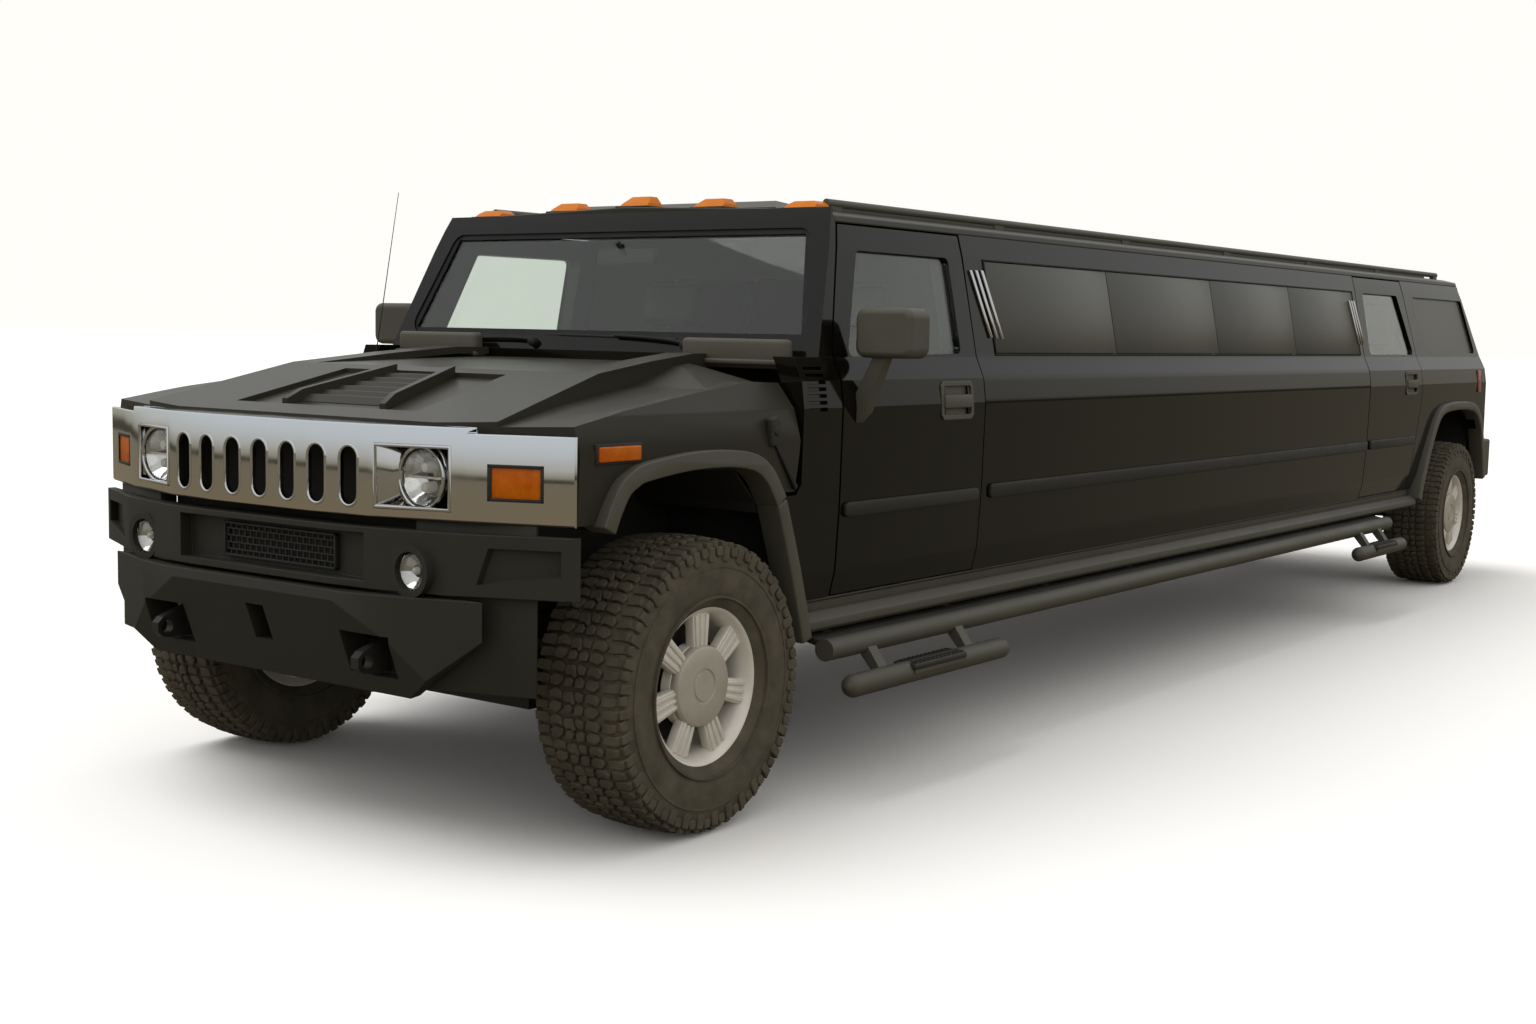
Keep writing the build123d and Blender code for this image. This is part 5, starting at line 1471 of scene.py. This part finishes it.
    def kneed(self, x0: float, x1: float, z0: float, z1: float) -> list[Corner]:
        """Corners of an upright rectangle, with two more where it crosses the corner's bend.

        Args:
            x0: its inner side.
            x1: its outer side.
            z0: its foot.
            z1: its top.

        Returns:
            The corners.
        """
        if not x0 < self.knee < x1:
            return oblong(x0, x1, z0, z1)
        return [(x0, z0), (self.knee, z0), (x1, z0), (x1, z1), (self.knee, z1), (x0, z1)]

    def indicator(self) -> Thing:
        """Ribbed amber lens that follows the corner.

        Returns:
            The lens.
        """
        x0, x1, z0, z1 = self.amber
        return plate("indicator_lens", Across.Y, self.kneed(x0 + 6, x1 - 6, z0 + 6, z1 - 6), 4, 14, 3,
                     slant=lambda x, z: self.depth(x))

    def indicator_frame(self) -> Thing:
        """Black moulded seat round the amber lens.

        Returns:
            The seat.
        """
        x0, x1, z0, z1 = self.amber
        edges = ((x0, x1, z0, z0 + 9), (x0, x1, z1 - 9, z1), (x0, x0 + 9, z0, z1), (x1 - 9, x1, z0, z1))
        return joined("indicator_seat", [
            plate("seat", Across.Y, self.kneed(*edge), -1, 22, 1.5, slant=lambda x, z: self.depth(x))
            for edge in edges])


@dataclass
class Bumper:
    """Textured front bumper with its mesh."""

    mesh_x: tuple[float, float] = (-190.0, 296.0)
    mesh_z: tuple[float, float] = (772.0, 872.0)
    mesh_y: float = -744.0
    columns: int = 19
    rows: int = 5

    def build(self) -> None:
        """Rounded bumper and the mesh in its recess."""
        thing = rounded_node("front_bumper", 0)
        bevel_where(thing, 14, 4, 14, keep=lambda a, b: (a - b).length > 120)
        soften(thing, 4, 2, 50)
        placed(shade(thing), "chassis", "satin_plastic", BUMPER_PLASTIC, "front_bumper")
        self.mesh()
        shield = plate("splash_shield", Across.Z, [
            (560, -700), (715, -655), (905, -598), (905, -588), (715, -640), (560, -640)], 470, 930, 4)
        both(shield, "chassis", "satin_plastic", BUMPER_PLASTIC)

    def mesh(self) -> None:
        """Frame, level bars and staggered posts, like brickwork."""
        (x0, x1), (z0, z1), y = self.mesh_x, self.mesh_z, self.mesh_y
        step_x, step_z = (x1 - x0) / self.columns, (z1 - z0) / self.rows
        edges = ((x0, x1, z0, z0 + 7), (x0, x1, z1 - 7, z1), (x0, x0 + 7, z0, z1), (x1 - 7, x1, z0, z1))
        parts = [block("side", (a0, y - 8, b0), (a1, y + 9, b1), 2) for a0, a1, b0, b1 in edges]
        parts += [block("bar", (x0, y - 3, z0 + step_z * n - 2.5), (x1, y + 5, z0 + step_z * n + 2.5), 1.5)
                  for n in range(1, self.rows)]
        for row in range(self.rows):
            shift = step_x / 2 * (row % 2)
            for n in range(1, self.columns):
                x, z = x0 + step_x * n - shift, z0 + step_z * row
                parts.append(block("post", (x - 2.5, y - 2, z), (x + 2.5, y + 5, z + step_z), 1, 1))
        placed(joined("bumper_mesh", parts), "chassis", "satin_plastic", TRIM)


# ------------------------------------------------------------------ hood
@dataclass
class Hood:
    """Clamshell hood with its louvre, latches and aerial."""

    edge: float = 5.0
    latch: Point = (1003.0, 310.0, 1154.0)

    def build(self) -> None:
        """Rounded hood and what is fixed to it."""
        thing = rounded_node("hood", 0)
        bevel_where(thing, 40, 5, 4, 60, keep=lambda a, b: (a - b).length > 170 and min(a.z, b.z) > 1130)
        soften(thing, self.edge, 2, 52)
        # The hood takes the lighter enamel: painted sky light on a panel that faces up.
        placed(shade(thing), "hood", "body_paint", TOP_LIT_PAINT, "hood")
        self.latches()
        self.shoulders()
        self.scoops()
        self.aerial()

    def shoulders(self) -> None:
        """Raised rear part of each fender, which falls away outwards."""
        wedge = plate("shoulder", Across.X, [
            (60, 1262), (90, 1276), (240, 1312), (330, 1336), (424, 1346), (432, 1334), (436, 1262)], 540, 930, 0)
        trimmed(wedge, (590, 300, 1344), Vector((0.2, 0, 0.98)).normalized())
        # Lighter enamel, painted sky light, as on the hood.
        both(shade(soften(wedge, 16, 4, 12)), "hood", "body_paint", TOP_LIT_PAINT)

    def latches(self) -> None:
        """Rubber hold-down straps on the rear of the fenders."""
        x, y, z = self.latch
        body = plate("latch_body", Across.X, [
            (y - 22, z - 45), (y + 14, z - 45), (y + 24, z + 30), (y + 4, z + 45), (y - 20, z + 36)],
            x - 12, x + 15, 6, 3)
        strap = plate("latch_strap", Across.X, [
            (y - 6, z - 26), (y + 10, z - 30), (y + 128, z - 172), (y + 116, z - 184)], x - 8, x + 6, 3)
        knob = turned("latch_knob", [(-4, 0), (-4, 13), (4, 15), (10, 12), (12, 0)], (x + 10, y, z), (1, 0, 0), 20)
        both(joined("hood_latch", [body, knob]), "hood", "satin_plastic", BUMPER_PLASTIC)
        both(strap, "hood", "satin_plastic", SEAL)

    def scoops(self) -> None:
        """Textured air boxes at the hood's rear corners."""
        corners = [(468, 530), (872, 545), (884, 578), (468, 578)]
        box = plate("air_box", Across.Z, corners, 1330, 1424, 14, 4)
        lip = plate("lip", Across.Z, [(458, 516), (884, 534), (896, 582), (458, 582)], 1342, 1360, 6, 3)
        both(joined("air_box", [box, lip]), "hood", "satin_plastic", SATIN)

    def aerial(self) -> None:
        """Whip aerial on the right fender."""
        base = turned("aerial_base", [(-14, 0), (-14, 20), (0, 19), (9, 12), (26, 8), (34, 0)], (-900, 452, 1288),
                      (0, 0.1, 1), 20)
        placed(base, "hood", "satin_plastic", SEAL)
        whip = bar("aerial_whip", (-900, 455, 1310), (-900, 570, 1926), 2.2, 8, tip=1.2, width=0.2)
        placed(whip, "hood", "chassis_steel", STEEL)


# ------------------------------------------------------------------ windscreen and cowl
@dataclass
class Screen:
    """Wipers, seals and what stands round the windscreen."""

    lean: float = 0.418          # its slope: distance back for each unit of height
    foot_y: float = 597.0
    foot_z: float = 1372.0
    half: tuple[float, float] = (900.0, 800.0)       # half width at the foot and at the head
    height: tuple[float, float] = (1420.0, 1782.0)   # foot and head
    lap: float = 8.0             # how far the seal laps onto the frame
    wipers: Sequence[tuple[Point, Point, Point]] = (
        ((-250, 0, 1398), (-560, 0, 1404), (-885, 0, 1400)),
        ((430, 0, 1398), (120, 0, 1424), (-205, 0, 1428)),
    )

    def face(self, z: float) -> float:
        """The frame's outer face at a height, as y."""
        return self.foot_y + self.lean * (z - self.foot_z)

    def build(self) -> None:
        """Frit band, seal, wipers and interior mirror."""
        self.surround()
        for n, (pivot, elbow, tip) in enumerate(self.wipers):
            self.wiper(n, pivot, elbow, tip)
        self.inner_mirror()

    def surround(self) -> None:
        """Rubber seal round the pane, with the black frit behind it."""
        (x0, x1), (z0, z1), lap = self.half, self.height, self.lap
        outer = [(-x0 - lap, z0 - lap), (x0 + lap, z0 - lap), (x1 + lap, z1 + lap), (-x1 - lap, z1 + lap)]
        ring = plate("screen_seal", Across.Y, outer, 7, 13, 0, slant=lambda x, z: self.face(z))
        sink(ring, (0, -0.923, 0.386), 30, 6.2)
        reshape(ring, lambda: bpy.ops.mesh.delete(type="FACE"))
        widest_picked(ring, Vector((0, 0.923, -0.386)), 0.9)
        reshape(ring, lambda: bpy.ops.mesh.delete(type="ONLY_FACE"))
        placed(soften(ring, 0), "chassis", "trim_plastic", SEAL)

    def wiper(self, n: int, pivot: Point, elbow: Point, tip: Point) -> None:
        """Arm, bridge and blade that lie on the pane.

        Args:
            n: number of the wiper.
            pivot: where its arm turns; its y is that of the frame's face.
            elbow: where the arm meets the blade.
            tip: the blade's end.
        """
        def on(point: Point, off: float) -> Point:
            """Point at a distance in front of the frame's face."""
            return (point[0], self.face(point[2]) - off, point[2])

        arm = wire("arm", [on(pivot, 14), on((pivot[0], 0, pivot[2] + 18), 18), on(elbow, 14)], 7, 0.7)
        knob = turned("knob", [(-24, 0), (-24, 17), (4, 16), (10, 8), (11, 0)], on(pivot, 16), (0, -1, 0.2), 20)
        blade_ends = (tip[0], 0, tip[2] - 6), (elbow[0] * 2 - tip[0], 0, elbow[2] * 2 - tip[2] - 6)
        blade = wire("blade", [on(p, -8) for p in blade_ends], 6, 1, 2, smooth=False)
        bridge_ends = [(p[0] * 0.8 + elbow[0] * 0.2, 0, p[2] * 0.8 + elbow[2] * 0.2) for p in blade_ends]
        bridge = wire("bridge", [on(p, -1) for p in bridge_ends], 5, 1, 2, smooth=False)
        placed(joined(f"wiper_{n}", [arm, knob, blade, bridge]), "chassis", "trim_plastic", SEAL)

    def inner_mirror(self) -> None:
        """Interior mirror on its stalk."""
        y = self.face(1700) + 60
        stalk = bar("stalk", (0, y - 45, 1745), (0, y, 1700), 9)
        head = plate("head", Across.Y, [
            (-125, 1665), (125, 1665), (132, 1700), (120, 1725), (-120, 1725), (-132, 1700)], y, y + 28, 9, 3)
        placed(joined("interior_mirror", [stalk, head]), "chassis", "trim_plastic", TRIM)


# ------------------------------------------------------------------ sides
@dataclass
class Sides:
    """Glass band, chrome slats, rubbing strips and handles of both sides."""

    seams: Sequence[float] = (1718, 2700, 3745, 4705, 5641)    # ends of the saloon panes
    glass_z: tuple[float, float] = (1384.0, 1714.0)
    handle_z: float = 1225.0
    handles: Sequence[tuple[str, float]] = (("front", 1380.0), ("rear", 6419.0))
    strips: Sequence[tuple[str, str, float, float, float, float]] = (
        ("front_strip", "front_door", 700.0, 1540.0, 868.0, 916.0),
        ("saloon_strip", "chassis", 1625.0, 5690.0, 872.0, 924.0),
        ("rear_strip", "rear_door", 5740.0, 6500.0, 876.0, 926.0),
    )
    slats: Sequence[tuple[Corner, Corner]] = (           # each one's top and foot
        ((1608, 1678), (1690, 1440)), ((1648, 1679), (1730, 1438)), ((1688, 1680), (1770, 1436)),
        ((5575, 1668), (5640, 1440)), ((5610, 1668), (5675, 1440)), ((5645, 1668), (5710, 1440)),
    )
    slat_half: float = 9.0
    marker: tuple[float, float, float, float] = (-470.0, -302.0, 1096.0, 1136.0)
    sill_seam: tuple[float, float, float, float] = (515.0, 6560.0, 606.0, 611.0)

    def build(self) -> None:
        """Left side, then its twins."""
        self.glass()
        for name, body, y0, y1, z0, z1 in self.strips:
            both(side_plate(name, clipped(y0, y1, z0, z1, 14, 8), 2, 13, 6), body, "satin_plastic", BUMPER_PLASTIC)
        half = self.slat_half
        for n, ((y1, z1), (y0, z0)) in enumerate(self.slats):
            corners = [(y0 - half, z0), (y0 + half, z0), (y1 + half, z1), (y1 - half, z1)]
            both(side_plate(f"slat_{n}", corners, 1, 9, 3.5), "chassis", "chrome", CHROME)
        for end, y in self.handles:
            both(self.handle(end, y), f"{end}_door", "satin_plastic", SATIN)
        y0, y1, z0, z1 = self.marker
        both(plate("marker_lens", Across.X, oblong(y0, y1, z0, z1), 998, 1013, 4, 3), "hood", "amber_lens", AMBER)
        seat = plate("marker_seat", Across.X, oblong(y0 - 10, y1 + 10, z0 - 8, z1 + 8), 990, 1006, 3)
        both(seat, "hood", "trim_plastic", TRIM)
        seam = side_plate("sill_seam_front", oblong(*self.sill_seam), 3, 2, 0.8)
        both(seam, "chassis", "trim_plastic", SEAL)

    def glass(self) -> None:
        """Flush panes with a rubber line round the band."""
        low, high = self.glass_z
        panes = [side_plate("pane", oblong(y0 + 3, y1 - 3, low + 3, high - 3), 1, 3, 1.2)
                 for y0, y1 in zip(self.seams, self.seams[1:])]
        first, last = self.seams[0], self.seams[-1]
        lines = [side_plate("line", oblong(*ends), 2, 5, 1.5) for ends in (
            (first - 6, last + 6, low - 6, low), (first - 6, last + 6, high, high + 6), (first - 6, first, low, high),
            (last, last + 6, low, high))]
        lines += [side_plate("line", oblong(y - 3, y + 3, low, high), 2, 1.6, 0.5) for y in self.seams[1:-1]]
        both(joined("saloon_glass", panes), "chassis", "dark_glass", DARK_GLASS)
        both(joined("saloon_seal", lines), "chassis", "trim_plastic", SEAL)

    def handle(self, end: str, y: float) -> Thing:
        """Handle with its seat: a cup and a pull bar.

        Args:
            end: front or rear.
            y: its middle.

        Returns:
            The left handle.
        """
        z = self.handle_z
        seat = side_plate(f"{end}_handle", clipped(y - 108, y + 108, z - 66, z + 66, 16, 16), 13, 6, 0)
        sink(seat, (1, 0, -0.05), 17, 13)
        soften(seat, 2.5, 2)
        pull = side_plate("pull", oblong(y - 92, y + 92, z - 26, z + 20), 4, 11, 6)
        return joined(f"{end}_handle", [seat, pull])


@dataclass
class Mirrors:
    """Door mirrors: padded-looking housings on arms."""

    middle: Point = (1110.0, 772.0, 1450.0)

    def build(self) -> None:
        """Housing, arm and glass of both mirrors."""
        x, y, z = self.middle
        for side in ("left", "right"):
            shell = rounded_node(f"{side}_mirror", 6, 3, 30)
            placed(shade(shell), f"{side}_front_door", "body_paint", SATIN, f"{side}_mirror")
        glass = plate("mirror_glass", Across.Y, clipped(x - 88, x + 88, z - 66, z + 66, 14, 16), y + 60, y + 68, 2)
        both(glass, "front_door", "chrome", CHROME)


# ------------------------------------------------------------------ roof, steps and tail
@dataclass
class Roof:
    """Marker lamps, the skirt inside the rails and the headliner."""

    lamp_x: Sequence[float] = (-709, -331, 0, 331, 709)
    lamp_y: float = 870.0
    crown: float = 1868.0

    def build(self) -> None:
        """Domed amber lenses on black seats, which stand for the CAD's lamps."""
        lenses, seats = [], []
        for x in self.lamp_x:
            low = self.crown - 24 * abs(x) / 782
            top = low + 40 - abs(x) / 60
            shape = [(x - 66, low - 2), (x - 60, low + 16), (x - 40, top), (x + 40, top), (x + 60, low + 16),
                     (x + 66, low - 2)]
            lens = plate("roof_lamp", Across.Y, shape, self.lamp_y - 42, self.lamp_y + 46, 0)
            trimmed(lens, (x, self.lamp_y - 40, low + 4), Vector((0, -0.62, 0.785)))
            lenses.append(soften(lens, 11, 4, 20))
            foot = [(x - 72, low - 6), (x - 72, low + 5), (x + 72, low + 5), (x + 72, low - 6)]
            seats.append(plate("seat", Across.Y, foot, self.lamp_y - 50, self.lamp_y + 54, 2))
        skirt = block("rail_skirt", (747, 920, 1838), (763, 7335, 1872), 4)
        both(skirt, "chassis", "satin_plastic", SATIN)
        liner = block("headliner", (-850, 830, 1800), (850, 7300, 1822), 6)
        placed(liner, "chassis", "trim_plastic", CARPET)
        placed(joined("roof_lamps", lenses), "chassis", "amber_lens", AMBER_DOME, "amber_lamps")
        placed(joined("roof_lamp_seats", seats), "chassis", "trim_plastic", SEAL)


@dataclass
class Steps:
    """Pads, caps and sleeves of the steps, and a dark plate above them that stands in for the shade between sill and
    tube.
    """

    x: float = 1136.0
    top: float = 397.0
    tube_z: float = 366.0
    middles: Sequence[float] = (1030.0, 5584.0)
    long: float = 330.0
    ribs: int = 12
    rib_pitch: float = 26.0
    caps: Sequence[tuple[float, int]] = ((560.0, -1), (1500.0, 1), (5240.0, -1), (5929.0, 1))    # y, way they look
    sleeves: Sequence[tuple[float, float]] = ((536.0, 988.0), (5216.0, 737.0))                   # y, length

    def build(self) -> None:
        """Left pieces, then their twins."""
        for n, middle in enumerate(self.middles):
            both(joined(f"step_pad_{n}", self.pad(middle)), "chassis", "satin_plastic", BUMPER_PLASTIC)
        dome = [(-2, 0), (-2, 27), (8, 26), (18, 20), (25, 10), (27, 0)]
        ends = [turned("end", dome, (self.x, y, self.tube_z), (0, way, 0), 24) for y, way in self.caps]
        both(joined("step_ends", ends), "chassis", "satin_plastic", SATIN)
        sleeves = []
        for y, long in self.sleeves:
            profile = [(0, 0), (4, 18), (14, 30), (30, 36), (long - 30, 36), (long - 14, 30), (long - 4, 18),
                       (long, 0)]
            sleeves.append(turned("sleeve", profile, (self.x, y, self.tube_z), (0, 1, 0), 28))
        both(joined("step_sleeves", sleeves), "chassis", "satin_plastic", SATIN)
        # Dark plate that closes the gap between sill and step tube: painted shade, so the floor doesn't show through.
        shade_plate = plate("sill_valance", Across.Y, [(900, 522), (1040, 496), (1046, 470), (900, 505)], 545, 5945, 3)
        both(shade_plate, "chassis", "satin_plastic", BUMPER_PLASTIC)

    def pad(self, middle: float) -> list[Thing]:
        """Ribbed pad with a rounded frame.

        Args:
            middle: its middle along the vehicle.

        Returns:
            The frame and its ribs.
        """
        x, start, top = self.x, middle - self.long / 2, self.top
        parts = [block("pad", (x - 44, start, top - 22), (x + 44, middle + self.long / 2, top + 1), 8, 3)]
        for k in range(self.ribs):
            y = start + 22 + self.rib_pitch * k
            parts.append(block("rib", (x - 36, y, top - 1), (x + 36, y + 14, top + 5), 2, 2))
        return parts


@dataclass
class Tail:
    """Plate recess, gate handle and the lamps on the body's rear corners."""

    gate_y: float = 7965.0       # the gate's outer face
    side_lamp: tuple[float, float, float, float] = (7735.0, 7795.0, 1154.0, 1291.0)

    def build(self) -> None:
        """All pieces of the rear end."""
        y = self.gate_y
        plate_seat = block("plate_seat", (-185, y - 3, 900), (185, y + 12, 1065), 5, 3)
        sink(plate_seat, (0, 1, 0), 16, 9)
        placed(plate_seat, "liftgate", "body_paint", SATIN)
        handle = block("gate_handle", (-95, y + 6, 1085), (95, y + 28, 1112), 7, 3)
        placed(handle, "liftgate", "chrome", CHROME)
        both(side_plate("side_lamp", oblong(*self.side_lamp), 2, 9, 4), "chassis", "red_lens", RED)


# ------------------------------------------------------------------ cabin
@dataclass
class Cabin:
    """Upholstery and the steering wheel."""

    floor: float = 630.0
    seat_y: float = 1050.0
    seat_x: Sequence[float] = (-430.0, 430.0)
    bench_y: tuple[float, float] = (2076.0, 5610.0)
    sections: int = 7
    gap: float = 4.0             # from a section's edge to its cushion
    rear_x: float = -675.0       # where the rear bench starts
    rear_wide: float = 450.0     # of each of its three sections
    wheel_middle: Point = (-400.0, 940.0, 1190.0)

    def build(self) -> None:
        """Front seats, saloon seats and the wheel's rim."""
        self.front_seats()
        self.saloon()
        self.wheel()

    def cushion(self, name: str, low: Point, high: Point, lean: float = 0.0) -> Thing:
        """Padded cushion between two corners.

        Args:
            name: the piece's name.
            low: the corner with the least coordinates.
            high: the corner with the greatest ones.
            lean: how far it leans back, in degrees.

        Returns:
            The cushion.
        """
        thing = block(name, low, high, 26, 3)
        if lean:
            thing.data.transform(self.tilt(lean, low[1], low[2]))
        return thing

    def tilt(self, lean: float, y: float, z: float) -> Matrix:
        """Turn about a level line through y and z, backwards."""
        foot = Matrix.Translation(spot(0, y, z))
        return foot @ Matrix.Rotation(-math.radians(lean), 4, "X") @ foot.inverted()

    def front_seats(self) -> None:
        """Base, cushion, back and head restraint of both seats."""
        y, parts, bases = self.seat_y, [], []
        for x in self.seat_x:
            parts.append(self.cushion("seat", (x - 235, y - 20, 800), (x + 235, y + 440, 950)))
            parts.append(self.cushion("back", (x - 230, y + 390, 900), (x + 230, y + 500, 1440), 9))
            parts.append(self.cushion("rest", (x - 130, y + 490, 1470), (x + 130, y + 580, 1630), 6))
            bases.append(block("base", (x - 180, y + 30, self.floor), (x + 180, y + 400, 800), 12))
        placed(joined("front_seat_cushions", parts), "chassis", "seat_leather", HIDE, "front_seats")
        placed(joined("front_seat_bases", bases), "chassis", "trim_plastic", TRIM)

    def saloon(self) -> None:
        """Side bench in sections and the rear bench."""
        parts, gap, (y0, y1) = [], self.gap, self.bench_y
        wide = (y1 - y0) / self.sections
        for n in range(self.sections):
            a, b = y0 + wide * n + gap, y0 + wide * (n + 1) - gap
            parts.append(self.cushion("seat", (-880, a, 790), (-390, b, 960)))
            parts.append(self.cushion("back", (-890, a, 950), (-760, b, 1330)))
        for n in range(3):
            a, b = self.rear_x + self.rear_wide * n + gap, self.rear_x + self.rear_wide * (n + 1) - gap
            parts.append(self.cushion("seat", (a, 6880, 880), (b, 7370, 1040)))
            parts.append(self.cushion("back", (a, 7250, 1030), (b, 7390, 1450)))
        placed(joined("saloon_cushions", parts), "chassis", "seat_leather", HIDE, "saloon_seats")
        plinths = [block("plinth", (-870, y0, self.floor), (-420, y1, 790), 8),
                   block("plinth", (-675, 6900, 750), (675, 7370, 880), 8)]
        placed(joined("saloon_plinths", plinths), "chassis", "trim_plastic", CARPET)

    def wheel(self) -> None:
        """Leather rim over the CAD wheel's ring."""
        start_fresh()
        bpy.ops.mesh.primitive_torus_add(major_radius=0.18, minor_radius=0.0165, major_segments=48, minor_segments=14,
                                         location=spot(*self.wheel_middle), rotation=(math.radians(-62), 0, 0))
        ring = soften(settle("steering_rim"), 0, angle=60)
        placed(ring, "chassis", "trim_plastic", HIDE)


def main() -> None:
    """Builds the classes in order and reports each piece."""
    logging.basicConfig(level=logging.INFO, format="%(message)s")
    dress_frame()
    for assembly in (Shells(), Arches(), Wheels(), Nose(), Bumper(), Hood(), Screen(), Sides(), Mirrors(), Roof(),
                     Steps(), Tail(), Cabin()):
        known = set(bpy.data.objects.keys())
        assembly.build()
        for name in sorted(set(bpy.data.objects.keys()) - known):
            log.info("%s: %s", type(assembly).__name__, name)
    Studio().build()


if __name__ == "__main__":
    main()
